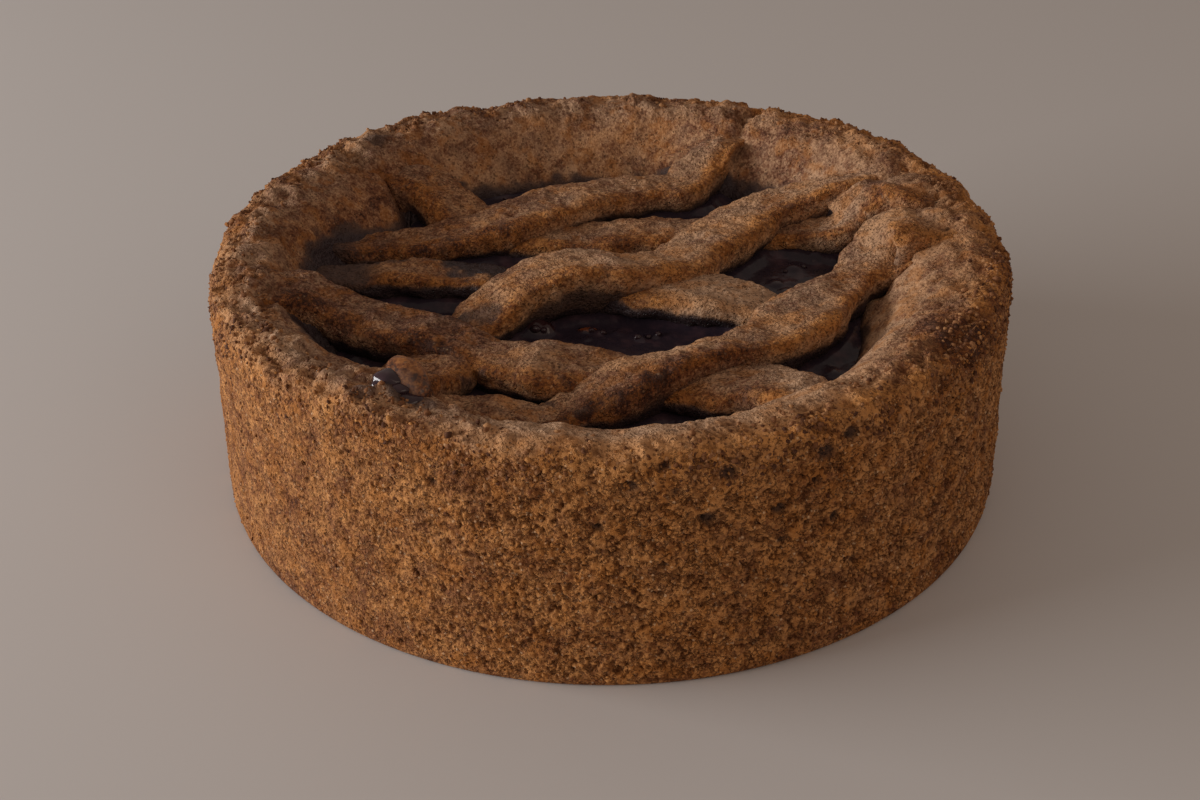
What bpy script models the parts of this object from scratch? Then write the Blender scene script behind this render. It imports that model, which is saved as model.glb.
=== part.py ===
"""Linzer torte: a deep round crust with a broad rim, a layer of jam in its recess, and a
lattice of seven uneven dough strips woven over the jam, with their ends on the rim.

The origin is the centre of the base, +Z is up and the front of the torte faces -Y.
"""

import math

import bmesh
import bpy
import numpy as np
from mathutils import Vector

MM = 0.001

# Driving dimensions of the crust.
TIN_RADIUS = 100 * MM
RIM_HEIGHT = 62 * MM
RECESS_FLOOR = 37 * MM
JAM_LEVEL = 44.5 * MM
BASE_ROUNDING = 1.2 * MM
CRUST_STEPS = 120

# Driving dimensions of the lattice.
STRIP_THICKNESS_SHARE = 0.44  # of the strip's width
STRIP_SIDES = 12
STRIP_SPACING = 4.6 * MM
STRIP_END_ROUNDING = 5 * MM
STRIP_FLATNESS = (0.48, 0.58)  # powers of the section's width and thickness; 1 is an ellipse

GAP = 0.3 * MM  # kept between pieces that lie on one another

# The rim isn't a true circle. Each lobe is (direction, half angle, amount) in degrees and mm.
LIP_LOBES = ((-36, 22, 4.5), (-62, 8, 2.5), (150, 14, 4), (-134, 10, 4), (10, 25, 3), (-90, 35, -2))
FOOT_LOBES = ((150, 16, 6), (105, 30, 4.5), (60, 16, 6), (-20, 20, 4), (139, 5, -5), (63, 4, -4))
HEIGHT_LOBES = ((95, 50, 1.2), (35, 28, 2.4), (134, 22, 1.9), (165, 16, 1.5), (-75, 30, -0.6))
WALL_LOBES = ((180, 48, 1.7), (-100, 45, 0.9), (-15, 40, 0.7))

# Each strip's route over the jam: x, y, height of its top face and width, in mm.
STRIPS = {
    "strip_back": (
        (-84, 26, 55, 15), (-72, 25, 51, 15), (-56, 25, 50.5, 17), (-40, 28, 52, 19),
        (-22, 38, 54, 21), (-4, 50, 53.5, 20), (12, 55, 52.5, 18), (23, 59, 53, 16),
        (30, 69, 57.5, 14), (37, 79, 62, 14), (43, 88, 64.5, 13),
    ),
    "strip_middle": (
        (-48, -75, 61.5, 12), (-47, -66, 59.5, 14), (-46, -54, 52, 15), (-43, -38, 48.5, 15),
        (-34, -22, 51.5, 15), (-24, -11, 56.5, 16), (-11, -5, 58.5, 18), (3, -3, 57.5, 18),
        (16, 4, 54.5, 20), (28, 19, 54, 22), (40, 34, 54.5, 19), (54, 40, 56.5, 15),
        (65, 41, 60, 13), (72, 44, 63.5, 15), (80, 49, 66, 17),
    ),
    "strip_front": (
        (-22, -76, 52, 14), (-12, -67, 52, 15), (4, -57, 56, 16), (21, -50, 57, 16),
        (38, -39, 55.5, 16), (51, -21, 55, 15), (61, -7, 54.5, 13), (67, 3, 56.5, 11),
        (72, 8, 61.5, 13), (80, 7, 65, 18), (92, 4, 66, 21),
    ),
    "cross_back": (
        (-78, 62, 65, 14), (-69, 60, 63.5, 15), (-60, 56, 60.5, 16), (-50, 50, 56, 17),
        (-40, 42, 51.5, 18), (-26, 33, 49, 18), (-8, 29, 49.5, 18), (12, 32, 50, 18),
        (32, 32, 48.5, 17), (50, 30, 50, 15), (62, 26, 53.5, 13), (68, 28, 59.5, 14),
        (75, 30, 64.5, 18), (84, 28, 66.5, 19), (93, 21, 66, 15),
    ),
    "cross_middle": (
        (-79, 5, 51, 13), (-66, 5, 51, 14), (-50, 5, 51.5, 15), (-34, 3, 50, 15),
        (-16, -1, 48.5, 14), (0, -3, 49.5, 15), (15, -5, 52, 17), (29, -10, 52.5, 18),
        (42, -19, 50, 16), (50, -28, 47.5, 14),
    ),
    "cross_front": (
        (-94, -21, 63.5, 20), (-85, -20, 63.5, 21), (-76, -19, 60.5, 18), (-66, -22, 56, 15),
        (-56, -26, 54.5, 15), (-42, -33, 54.5, 16), (-30, -42, 53, 18), (-16, -47, 54, 20),
        (-2, -49, 52, 19), (14, -52, 49.5, 17), (30, -56, 51, 15), (42, -63, 54.5, 14),
        (49, -70, 57, 13),
    ),
    "cross_edge": (
        (-50, -68, 57, 13), (-40, -69, 55, 13), (-29, -68, 54, 13), (-18, -71, 53, 12), (-10, -77, 51, 11),
    ),
}
# How many degrees each strip leans over, its front edge up.
STRIP_LEAN = {
    "strip_back": 3, "strip_middle": 6, "strip_front": 7, "cross_back": 2,
    "cross_middle": 5, "cross_front": 2, "cross_edge": 0,
}
# The weave: each strip is pressed down by those named after it.
PRESSED_BY = {
    "strip_back": (),
    "strip_middle": ("cross_front",),
    "strip_front": (),
    "cross_back": ("strip_back", "strip_middle"),
    "cross_middle": ("strip_middle", "strip_front"),
    "cross_front": ("strip_front",),
    "cross_edge": ("strip_front", "strip_middle"),
}

# The drop of jam that boiled over onto the rim at the front left.
DROP_PLACE = (-51 * MM, -72 * MM, 62 * MM)
DROP_RADII = (4.6 * MM, 3.8 * MM, 2.9 * MM)


def clear_scene():
    for thing in list(bpy.data.objects):
        bpy.data.objects.remove(thing, do_unlink=True)


def new_collection(name):
    collection = bpy.data.collections.new(name)
    bpy.context.scene.collection.children.link(collection)
    return collection


def new_material(name, colour, roughness):
    material = bpy.data.materials.new(name)
    material.use_nodes = True
    shader = material.node_tree.nodes["Principled BSDF"]
    shader.inputs["Base Color"].default_value = (*colour, 1)
    shader.inputs["Roughness"].default_value = roughness
    shader.inputs["Metallic"].default_value = 0
    material.diffuse_color = (*colour, 1)
    return material


def lobes(angle, table):
    """The sum of bell curves round the rim, each as high as its lobe says, in metres."""
    total = np.zeros_like(angle)
    for direction, half_angle, amount in table:
        off = (angle - direction + 180) % 360 - 180
        total += amount * MM * np.exp(-((off / half_angle) ** 2))
    return total


def lumps(points, size, seed):
    """Uneven dough: twelve sine waves in random directions, about size long, between -1 and 1."""
    chance = np.random.default_rng(seed)
    directions = chance.normal(size=(12, 3))
    directions /= np.linalg.norm(directions, axis=1)[:, None]
    lengths = size * chance.uniform(0.7, 1.5, 12)
    waves = np.sin(points @ (directions * 2 * math.pi / lengths[:, None]).T + chance.uniform(0, 7, 12))
    return waves.sum(axis=1) / 6


def vertex_array(mesh, what="co"):
    values = np.empty(len(mesh.vertices) * 3, np.float32)
    mesh.vertices.foreach_get(what, values)
    return values.reshape(-1, 3).astype(np.float64)


def set_vertices(mesh, points):
    mesh.vertices.foreach_set("co", points.astype(np.float32).ravel())
    mesh.update()


def evaluated_mesh(thing):
    """The object's shape with its modifiers, as a mesh of its own."""
    graph = bpy.context.evaluated_depsgraph_get()
    return bpy.data.meshes.new_from_object(thing.evaluated_get(graph))


def tidied(mesh):
    """Caps and sides welded, loose slivers left out: the largest closed piece is kept."""
    work = bmesh.new()
    work.from_mesh(mesh)
    bmesh.ops.remove_doubles(work, verts=work.verts, dist=0.01 * MM)
    bmesh.ops.dissolve_degenerate(work, edges=work.edges, dist=0.01 * MM)
    islands = []
    unseen = set(work.verts)
    while unseen:
        island = set()
        edge_of_search = [unseen.pop()]
        while edge_of_search:
            vert = edge_of_search.pop()
            island.add(vert)
            for edge in vert.link_edges:
                other = edge.other_vert(vert)
                if other in unseen:
                    unseen.remove(other)
                    edge_of_search.append(other)
        islands.append(island)
    islands.sort(key=len)
    for island in islands[:-1]:
        bmesh.ops.delete(work, geom=list(island), context="VERTS")
    flat = math.radians(0.5)
    bmesh.ops.dissolve_limit(work, angle_limit=flat, verts=work.verts, edges=work.edges)
    bmesh.ops.triangulate(work, faces=work.faces)
    bmesh.ops.recalc_face_normals(work, faces=work.faces)
    work.to_mesh(mesh)
    work.free()
    return mesh


def mesh_object(name, mesh, collection, material=None):
    thing = bpy.data.objects.new(name, mesh)
    collection.objects.link(thing)
    if material:
        mesh.materials.clear()
        mesh.materials.append(material)
        mesh.shade_smooth()
    return thing


def as_cutter(thing, collection):
    """A hidden copy, grown by the gap, that cuts the pieces around this one."""
    mesh = thing.data.copy()
    set_vertices(mesh, vertex_array(mesh) + GAP * vertex_array(mesh, "normal"))
    cutter = mesh_object(thing.name + ".cutter", mesh, collection)
    cutter.hide_render = True
    cutter.display_type = "WIRE"
    return cutter


def cut(thing, cutters):
    """The object less each cutter in turn."""
    for cutter in cutters:
        boolean = thing.modifiers.new(cutter.name, "BOOLEAN")
        boolean.operation = "DIFFERENCE"
        boolean.object = cutter
        bpy.context.view_layer.update()
        old = thing.data
        thing.data = tidied(evaluated_mesh(thing))
        thing.modifiers.clear()
        bpy.data.meshes.remove(old)
    thing.data.shade_smooth()


def crust_profile():
    """Half of the crust's section, from the middle of the recess over the rim to the base."""
    floor, level, top = RECESS_FLOOR, JAM_LEVEL, RIM_HEIGHT
    radius = TIN_RADIUS
    inner = ((0, floor), (0.62 * radius, floor), (0.71 * radius, floor + 1.5 * MM),
             (0.75 * radius, level - 2 * MM), (0.77 * radius, level + 3 * MM),
             (0.80 * radius, top - 9 * MM), (0.83 * radius, top - 4.5 * MM))
    rim = ((0.86 * radius, top - 1.7 * MM), (0.90 * radius, top), (0.94 * radius, top + 0.3 * MM),
           (0.976 * radius, top - 1.5 * MM), (0.994 * radius, top - 4.5 * MM), (radius, top - 9 * MM))
    outer = ((radius, 0.65 * top), (1.002 * radius, 0.50 * top), (1.004 * radius, 0.35 * top),
             (1.006 * radius, 0.2 * top), (1.006 * radius, BASE_ROUNDING + 2 * MM),
             (1.003 * radius, 0.5 * BASE_ROUNDING), (0.995 * radius, 0), (0, 0))
    return inner + rim + outer


def make_crust(collection, material):
    """The profile is turned with a Screw modifier, then the rim is pushed out of round."""
    profile = crust_profile()
    mesh = bpy.data.meshes.new("crust_profile")
    mesh.from_pydata([(r, 0, z) for r, z in profile], [(i, i + 1) for i in range(len(profile) - 1)], [])
    turned = mesh_object("crust_profile", mesh, collection)
    screw = turned.modifiers.new("Turn", "SCREW")
    screw.angle = 2 * math.pi
    screw.steps = CRUST_STEPS
    screw.render_steps = CRUST_STEPS
    screw.use_merge_vertices = True
    screw.merge_threshold = 0.00001
    bpy.context.view_layer.update()
    crust = mesh_object("crust", tidied(evaluated_mesh(turned)), collection, material)
    bpy.data.objects.remove(turned)

    points = vertex_array(crust.data)
    radius = np.hypot(points[:, 0], points[:, 1])
    angle = np.degrees(np.arctan2(points[:, 1], points[:, 0]))
    height = points[:, 2]
    inside = np.clip((0.94 * TIN_RADIUS - radius) / (12 * MM), 0, 1)
    above_floor = np.clip((height - RECESS_FLOOR - 1 * MM) / (6 * MM), 0, 1)
    near_foot = np.clip((RIM_HEIGHT - 2 * MM - height) / (14 * MM), 0, 1)
    inward = inside * above_floor * (lobes(angle, LIP_LOBES) + near_foot * lobes(angle, FOOT_LOBES))
    on_rim = np.clip((height - 40 * MM) / (20 * MM), 0, 1) * np.clip((radius - 74 * MM) / (10 * MM), 0, 1)
    uneven = np.clip(height / (8 * MM), 0, 1) * np.clip((radius - 70 * MM) / (8 * MM), 0, 1)
    swell = uneven * (0.55 * MM * lumps(points, 26 * MM, 3) + 0.3 * MM * lumps(points, 11 * MM, 4))
    swell += np.clip((radius - 86 * MM) / (12 * MM), 0, 1) * lobes(angle, WALL_LOBES)
    share = (radius - inward + swell) / np.maximum(radius, 1 * MM)
    points[:, 0] *= share
    points[:, 1] *= share
    points[:, 2] += on_rim * (lobes(angle, HEIGHT_LOBES) + 0.6 * MM * lumps(points, 18 * MM, 5))
    set_vertices(crust.data, points)
    return crust


def smooth_route(route):
    """A Catmull-Rom curve through the route's points, read every few millimetres."""
    knots = np.array(route, float) * MM
    ends = np.vstack([2 * knots[0] - knots[1], knots, 2 * knots[-1] - knots[-2]])
    samples = []
    for before, start, stop, after in zip(ends, ends[1:], ends[2:], ends[3:]):
        count = max(2, round(float(np.linalg.norm((stop - start)[:3])) / STRIP_SPACING))
        for t in np.arange(count) / count:
            samples.append(0.5 * (2 * start + (stop - before) * t
                                  + (2 * before - 5 * start + 4 * stop - after) * t**2
                                  + (3 * start - before - 3 * stop + after) * t**3))
    samples.append(knots[-1])
    return np.array(samples)


def strip_section(collection):
    """A flat rounded section one unit wide: an ellipse with its sides filled out."""
    curve = bpy.data.curves.new("strip_section", "CURVE")
    curve.dimensions = "2D"
    spline = curve.splines.new("POLY")
    spline.points.add(STRIP_SIDES - 1)
    spline.use_cyclic_u = True
    for i, point in enumerate(spline.points):
        turn = 2 * math.pi * (i + 0.5) / STRIP_SIDES
        across = math.copysign(abs(math.cos(turn)) ** STRIP_FLATNESS[0], math.cos(turn))
        up = math.copysign(abs(math.sin(turn)) ** STRIP_FLATNESS[1], math.sin(turn))
        point.co = (0.5 * across, 0.5 * STRIP_THICKNESS_SHARE * up, 0, 1)
    section = bpy.data.objects.new("strip_section", curve)
    collection.objects.link(section)
    section.hide_render = True
    return section


def make_strip(name, route, section, collection, material, seed):
    """The section carried along the route, level across, with round ends and soft lumps."""
    samples = smooth_route(route)
    steps = np.linalg.norm(np.diff(samples[:, :3], axis=0), axis=1)
    along = np.concatenate([[0], np.cumsum(steps)])
    from_end = np.clip(np.minimum(along, along[-1] - along) / STRIP_END_ROUNDING, 0, 1)
    fullness = 0.45 + 0.55 * np.sqrt(1 - (1 - from_end) ** 2)
    curve = bpy.data.curves.new(name + "_route", "CURVE")
    curve.dimensions = "3D"
    curve.twist_mode = "Z_UP"
    curve.bevel_mode = "OBJECT"
    curve.bevel_object = section
    curve.use_fill_caps = True
    spline = curve.splines.new("POLY")
    spline.points.add(len(samples) - 1)
    for point, (x, y, top, width), full in zip(spline.points, samples, fullness):
        point.co = (x, y, top - 0.5 * STRIP_THICKNESS_SHARE * width, 1)
        point.radius = width * full
        point.tilt = -math.radians(STRIP_LEAN[name])
    carried = bpy.data.objects.new(name + "_route", curve)
    collection.objects.link(carried)
    bpy.context.view_layer.update()
    strip = mesh_object(name, tidied(evaluated_mesh(carried)), collection, material)
    bpy.data.objects.remove(carried)
    points = vertex_array(strip.data)
    relief = 0.5 * MM * lumps(points, 14 * MM, seed)
    set_vertices(strip.data, points + relief[:, None] * vertex_array(strip.data, "normal"))
    return strip


def make_jam(collection, material):
    """A turned disc, wider and deeper than the recess that trims it."""
    depth = 3 * MM
    edge = 0.9 * TIN_RADIUS
    profile = [(0, JAM_LEVEL), (edge, JAM_LEVEL), (edge, RECESS_FLOOR - depth), (0, RECESS_FLOOR - depth)]
    mesh = bpy.data.meshes.new("jam_profile")
    mesh.from_pydata([(r, 0, z) for r, z in profile], [(i, i + 1) for i in range(len(profile) - 1)], [])
    turned = mesh_object("jam_profile", mesh, collection)
    screw = turned.modifiers.new("Turn", "SCREW")
    screw.steps = 40
    screw.render_steps = 40
    screw.use_merge_vertices = True
    screw.merge_threshold = 0.00001
    bpy.context.view_layer.update()
    jam = mesh_object("jam", tidied(evaluated_mesh(turned)), collection, material)
    bpy.data.objects.remove(turned)
    return jam


def make_drop(collection, material):
    """A flattened ball of jam on the rim."""
    bpy.ops.mesh.primitive_ico_sphere_add(subdivisions=2, radius=1, location=DROP_PLACE)
    drop = bpy.context.object
    drop.name = "jam_drop"
    for owner in list(drop.users_collection):
        owner.objects.unlink(drop)
    collection.objects.link(drop)
    set_vertices(drop.data, vertex_array(drop.data) * np.array(DROP_RADII) + np.array(DROP_PLACE))
    drop.location = Vector((0, 0, 0))
    drop.data.materials.append(material)
    drop.data.shade_smooth()
    return drop


def main():
    clear_scene()
    torte = new_collection("linzer_torte")
    cutters = new_collection("cutters")
    crust_look = new_material("baked_crust", (0.235, 0.118, 0.052), 0.85)
    strip_look = new_material("baked_strip", (0.262, 0.142, 0.066), 0.8)
    jam_look = new_material("dark_jam", (0.030, 0.010, 0.012), 0.18)

    crust = make_crust(torte, crust_look)
    crust_cutter = as_cutter(crust, cutters)
    section = strip_section(cutters)
    strips = {}
    strip_cutters = {}
    for seed, (name, route) in enumerate(STRIPS.items(), start=20):
        strips[name] = make_strip(name, route, section, torte, strip_look, seed)
        strip_cutters[name] = as_cutter(strips[name], cutters)
    jam = make_jam(torte, jam_look)
    drop = make_drop(torte, jam_look)

    for name, strip in strips.items():
        cut(strip, [crust_cutter] + [strip_cutters[other] for other in PRESSED_BY[name]])
    cut(jam, [crust_cutter] + list(strip_cutters.values()))
    cut(drop, [crust_cutter] + [strip_cutters["cross_edge"], strip_cutters["strip_middle"]])


main()
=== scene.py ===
"""Linzer torte: the crust, its lattice of dough strips, the jam and the crumbs, as fine
meshes with baked-dough and jam materials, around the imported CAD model.

Lengths are in mm, and mesh_piece turns them into metres; the camera, the lights and the floor
are in metres. Directions are in degrees from +X. +Z is up, the front faces -Y.
"""
import math
from functools import partial

import bpy
import numpy as np
from mathutils import Matrix, Vector


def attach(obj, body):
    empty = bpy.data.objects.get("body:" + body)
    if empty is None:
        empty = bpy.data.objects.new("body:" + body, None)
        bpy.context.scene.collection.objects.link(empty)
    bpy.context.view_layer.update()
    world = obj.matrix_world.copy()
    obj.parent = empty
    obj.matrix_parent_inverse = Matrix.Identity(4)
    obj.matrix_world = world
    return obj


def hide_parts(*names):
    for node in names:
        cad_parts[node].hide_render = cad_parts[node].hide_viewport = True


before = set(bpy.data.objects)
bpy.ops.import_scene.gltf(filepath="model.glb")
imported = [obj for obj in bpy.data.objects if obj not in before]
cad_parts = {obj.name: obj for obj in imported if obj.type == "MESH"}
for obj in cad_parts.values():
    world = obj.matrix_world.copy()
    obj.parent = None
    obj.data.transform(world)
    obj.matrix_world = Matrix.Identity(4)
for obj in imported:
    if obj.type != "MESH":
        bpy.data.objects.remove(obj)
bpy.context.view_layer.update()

MM = 0.001  # a millimetre in metres, the scene's unit

# ---------------- sizes: the CAD model's, some refined
TIN_RADIUS = 100
RIM_HEIGHT = 62
RECESS_FLOOR = 37
JAM_LEVEL = 44.5
BASE_ROUNDING = 1.2
STRIP_THICKNESS_SHARE = 0.44
STRIP_FLATNESS = (0.48, 0.58)
COVER_SINK = 0.7  # the crust's dough over the strips' ends lies this much lower than they do
STRIP_END_SINK = 2.8  # and the ends themselves are sunk by this, under that dough
# The rim isn't a true circle. Each lobe is a direction, a half angle in degrees, and an amount in mm.
LIP_LOBES = (
    (-36, 22, 4.5), (-62, 8, 2.5), (150, 14, 4), (-134, 10, 4), (-124, 7, 4), (10, 25, 3),
    (-90, 35, -1.3), (-8, 9, 2.2),
)
FOOT_LOBES = (
    (150, 16, 6), (105, 30, 4.5), (60, 16, 6), (-20, 20, 4), (139, 5, -5), (63, 4, -4),
    (-9, 10, 3.6), (-17, 8, 2.6),
)
HEIGHT_LOBES = ((95, 50, 1.2), (35, 28, 2.4), (134, 22, 1.9), (165, 16, 1.5), (-75, 30, -0.6), (-126, 7, 1.6))
WALL_LOBES = ((180, 48, 1.7), (-100, 45, 0.9), (-15, 40, 0.7))
# How many degrees each strip leans over, its front edge up.
STRIP_LEAN = {
    "strip_back": 3, "strip_middle": 6, "strip_front": 7, "cross_back": 2,
    "cross_middle": 5, "cross_front": 2, "cross_edge": 0,
}
# The drop of jam that boiled over onto the rim: its middle and its half sizes in mm.
DROP_PLACE = (-49, -73, 63.1)
DROP_RADII = (4.2, 3.2, 2.1)
# The glazed finger's route beside it: x, y, z and diameter in mm.
TONGUE = ((-49.4, -66.8, 63, 4), (-47.4, -68.6, 63.9, 6.8), (-45.2, -71.2, 63.4, 8),
          (-43, -74.2, 62.2, 6.8), (-41.2, -77.4, 60.6, 3.6))
# Beads of jam that stand out of the pool and beside the drop: x, y, z and diameter in mm.
BEADS = (
    (-19.2, -19.5, 46.3, 2.4), (-17, -19.6, 46, 1.8), (-5, -18.6, 45.3, 1.4), (-2, -19.4, 45, 1.6),
    (6.4, -22.2, 45, 1.8), (9.2, -21.6, 44.9, 1.2), (11.6, -20.6, 44.9, 1.5), (55, 18.6, 45, 2),
    (52, 15.2, 44.9, 1.4), (59.4, 17.6, 44.9, 1.6), (47, 13, 44.8, 1.2), (63, -30.5, 44.9, 1.8),
    (67, -25, 44.8, 1.3), (-46.8, -75, 62.2, 6.6), (-44.4, -77.4, 61.2, 5.6), (-41.4, -79.6, 60.5, 2.2),
    (-52.2, -75.6, 62, 4.6), (24, 45, 44.9, 1.4), (-10, 64, 44.9, 1.6), (-30, 62, 44.9, 1.3),
    (-38, -14.6, 46, 1.6),
)

# Each strip's route: x, y, height of its top face and width, in mm. Two of them are up to 3.5 mm
# higher and 5 mm wider than in the CAD model, where the dough swelled between others.
STRIPS = {
    "strip_back": (
        (-84, 26, 55, 15), (-72, 25, 51, 15), (-56, 25, 50.5, 17), (-40, 28, 52, 19),
        (-22, 38, 54, 21), (-4, 50, 53.5, 20), (12, 55, 52.5, 18), (23, 59, 53, 16),
        (30, 69, 57.5, 14), (37, 79, 62, 14), (43, 88, 64.5, 13),
    ),
    "strip_middle": (
        (-48, -75, 61.5, 12), (-47, -66, 59.5, 15), (-45, -55, 54, 19), (-42, -42, 52, 20),
        (-35, -24, 51, 16), (-24, -11, 56.5, 16), (-11, -5, 58.5, 18), (3, -3, 57.5, 18),
        (16, 4, 54.5, 20), (28, 19, 54, 22), (40, 34, 54.5, 19), (54, 40, 56.5, 15),
        (65, 41, 60, 13), (72, 44, 63.5, 15), (80, 49, 66, 17),
    ),
    "strip_front": (
        (-22, -76, 52, 14), (-12, -67, 52, 15), (4, -57, 56, 16), (21, -50, 57, 16),
        (38, -39, 55.5, 16), (51, -21, 55, 15), (61, -7, 54.5, 13), (67, 3, 56.5, 11),
        (72, 8, 61.5, 13), (80, 7, 65, 18), (92, 4, 66, 21),
    ),
    "cross_back": (
        (-78, 62, 65, 14), (-69, 60, 63.5, 15), (-60, 56, 60.5, 16), (-50, 50, 56, 17),
        (-40, 42, 51.5, 18), (-26, 33, 49, 18), (-8, 29, 49.5, 18), (12, 32, 50, 18),
        (32, 32, 48.5, 17), (50, 30, 50, 15), (62, 26, 53.5, 13), (68, 28, 59.5, 14),
        (75, 30, 64.5, 18), (84, 28, 66.5, 19), (93, 21, 66, 15),
    ),
    "cross_middle": (
        (-79, 5, 51, 13), (-66, 5, 51, 14), (-50, 5, 51.5, 15), (-34, 3, 50, 15),
        (-16, -1, 48.5, 14), (0, -3, 49.5, 15), (15, -5, 52, 17), (29, -10, 52.5, 18),
        (42, -19, 50, 16), (50, -28, 47.5, 14),
    ),
    "cross_front": (
        (-94, -21, 63.5, 20), (-85, -20, 63.5, 21), (-76, -19, 60.5, 18), (-66, -22, 56, 15),
        (-56, -26, 54.5, 15), (-42, -33, 54.5, 16), (-30, -42, 53, 18), (-16, -47, 54, 20),
        (-2, -49, 52, 19), (14, -52, 51, 17), (30, -56, 53, 16), (42, -63, 55.5, 15),
        (49, -70, 57, 13),
    ),
    "cross_edge": (
        (-50, -68, 57, 13), (-40, -69, 55, 13), (-29, -68, 54, 13), (-18, -71, 53, 12), (-10, -77, 51, 11),
    ),
}
# How far each strip's dough spreads into the crust at its ends, in mm:
# left and right of the way it runs at its start, then at its end.
SPREAD = {
    "strip_back": (7, 2, 12, 0.5),
    "strip_middle": (3, 3, 7, 2.5),
    "strip_front": (2, 2, 3.5, 3),
    "cross_back": (12, 0.5, 1, 2),
    "cross_middle": (3, 2, 2, 2),
    "cross_front": (5, 3, 2, 2),
    "cross_edge": (2, 5, 2, 2),
}
# Where a strip's sides swell or, below 0, draw in against the CAD model: strip, x, y and reach,
# and how much wider it is left and right of the way it runs, in mm.
BULGES = (
    ("strip_front", 75, 6, 9, 2, 7), ("strip_front", 66, 1, 6, 0, 5), ("strip_front", 48, -24, 11, 5.5, 2),
    ("cross_back", 88, 25, 10, 2, 3), ("strip_middle", 76, 46, 8, 3, 3), ("cross_middle", 24, -9, 11, 0, 5),
    ("cross_middle", -50, 5, 14, 1, 0.5), ("cross_middle", -33, 3, 12, 3.2, -1.5),
    ("strip_front", 26, -47, 15, 0, -3.6), ("strip_front", 0, -59, 8, 0, 1.5),
    ("strip_middle", -14, -6, 14, 0, 2), ("strip_middle", -44, -46, 10, 1.5, 3),
    ("cross_front", -8, -48, 12, 2, 1), ("cross_front", -56, -26, 14, 0, 1.6),
    ("cross_front", -34, -39, 7, 0, -2), ("cross_front", 26, -56, 13, 3, 3),
    ("cross_middle", 8, -4, 9, 0, 3.5), ("cross_back", 60, 27, 8, 4, 0), ("cross_back", 79, 30, 11, -3.5, 3),
)
# Where jam has run over the dough: x, y and radius in mm, and how thick, from 0 to 1.
JAM_RUNS = (
    (-38.5, -23, 5, 0.45), (-31, -22, 5.5, 0.4), (-32.3, -54, 4.5, 0.4), (-46.5, -76, 5.5, 0.62),
    (-54.5, -77, 4.5, 0.42), (-41.5, -80, 3.5, 0.4), (-38, -70, 3.5, 0.4), (48, 18, 3, 0.4),
    (-66, 62, 4, 0.4),
)
# How much more each strip is browned, from 0 to 1.
BROWNED = {
    "strip_back": 0.12, "strip_middle": 0, "strip_front": 0.06, "cross_back": 0.05,
    "cross_middle": -0.04, "cross_front": 0.14, "cross_edge": 0.06,
}
# Where a strip is browned more across its width: x and reach in mm.
BROWNED_SPOT = {"cross_back": (0, 26), "cross_front": (-38, 9)}
# How a strip's browning, gold, soaked level in mm, or jam stain and painted shade down its sides
# changes along x: strip, value, amount, x in mm where the change starts and where it is full.
# The rows for all strips, browner and more golden towards the left, are painted shade from the left rim.
STRIP_SHADES = (
    ("all", "toast", 0.24, -12, -50), ("all", "golden", 0.12, 0, -40),
    ("strip_front", "toast", -0.18, 60, 70),
    ("cross_front", "toast", -0.22, 28, 42), ("cross_front", "toast", -0.04, -44, -56),
    ("cross_front", "golden", -0.45, 30, 42), ("cross_front", "golden", -0.35, -36, -52),
    ("cross_front", "side", -0.55, -28, -40), ("cross_middle", "toast", -0.46, 8, 20),
    ("cross_middle", "golden", -0.70, 8, 20), ("cross_middle", "side", -0.5, 5, 16),
    ("cross_middle", "side", -0.4, -20, -32), ("cross_middle", "soak", -3.5, 24, 34),
)
# Painted shade below the rim, drawn by raising the jam stain inside the crust: direction and half angle in
# degrees, and how much higher in mm.
STAIN_LOBES = ((-156, 16, 9), (167, 14, 8), (137, 8, 3))
# The level in mm below which the jam has soaked a strip's top.
SOAK_LEVEL = {
    "strip_back": 47.5, "strip_middle": 48.5, "strip_front": 50.5, "cross_back": 46.5,
    "cross_middle": 50.2, "cross_front": 49.5, "cross_edge": 48,
}
# Painted shade on a strip's left end under the left rim, drawn with the jam stain: x in mm where it starts
# and where it is full.
SOAKED_END = {"strip_back": (-62, -76), "cross_middle": (-56, -68)}
# Lumps in the jam: x, y, length, breadth and height in mm, and how red, from 0 to 1.
JAM_LUMPS = (
    (-18, -18, 3.6, 2.6, 2.2, 0.9), (-15.5, -18.5, 1.3, 1.2, 0.8, 0.9), (-6, -17.7, 2.8, 1.3, 1, 1),
    (-3, -19, 1, 0.9, 0.7, 0.4), (7, -22, 1.4, 1.2, 0.9, 0.2), (11, -21, 1.1, 0.9, 0.6, 0.1),
    (55.5, 19.3, 1.6, 1.3, 0.9, 0.1), (49, 15, 2.4, 2, 0.8, 0.3), (60, 17, 1.2, 1, 0.6, 0.1),
    (64, -30, 2.2, 1.8, 0.7, 0.2), (-37, -15, 3, 2, 1.4, 0.1), (-33, -46, 3, 1.6, 1.6, 0.1),
    (30, -20, 1.8, 1.4, 0.7, 0.2), (22, 44, 2.4, 2, 0.8, 0.2), (-12, 66, 2.4, 2, 0.8, 0.2),
)
# Creases where dough was laid on dough: route (x, y in mm), depth and half width in mm.
CREASES = (
    (((-80, 60), (-73, 54), (-67, 51), (-62, 50), (-58, 47)), 2.6, 2.2),
    (((51, 87), (45, 82), (41, 79), (38.5, 73.5), (35.5, 69), (32, 62)), 3, 2),
    (((84, 38), (76, 35), (69, 31.5), (64, 28), (60.5, 24)), 2, 1.8),
    (((86, -1), (81, -1.7), (74.6, -4.3), (71.3, -6.3), (69.6, -8.7), (69, -12)), 3, 2.2),
)
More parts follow.
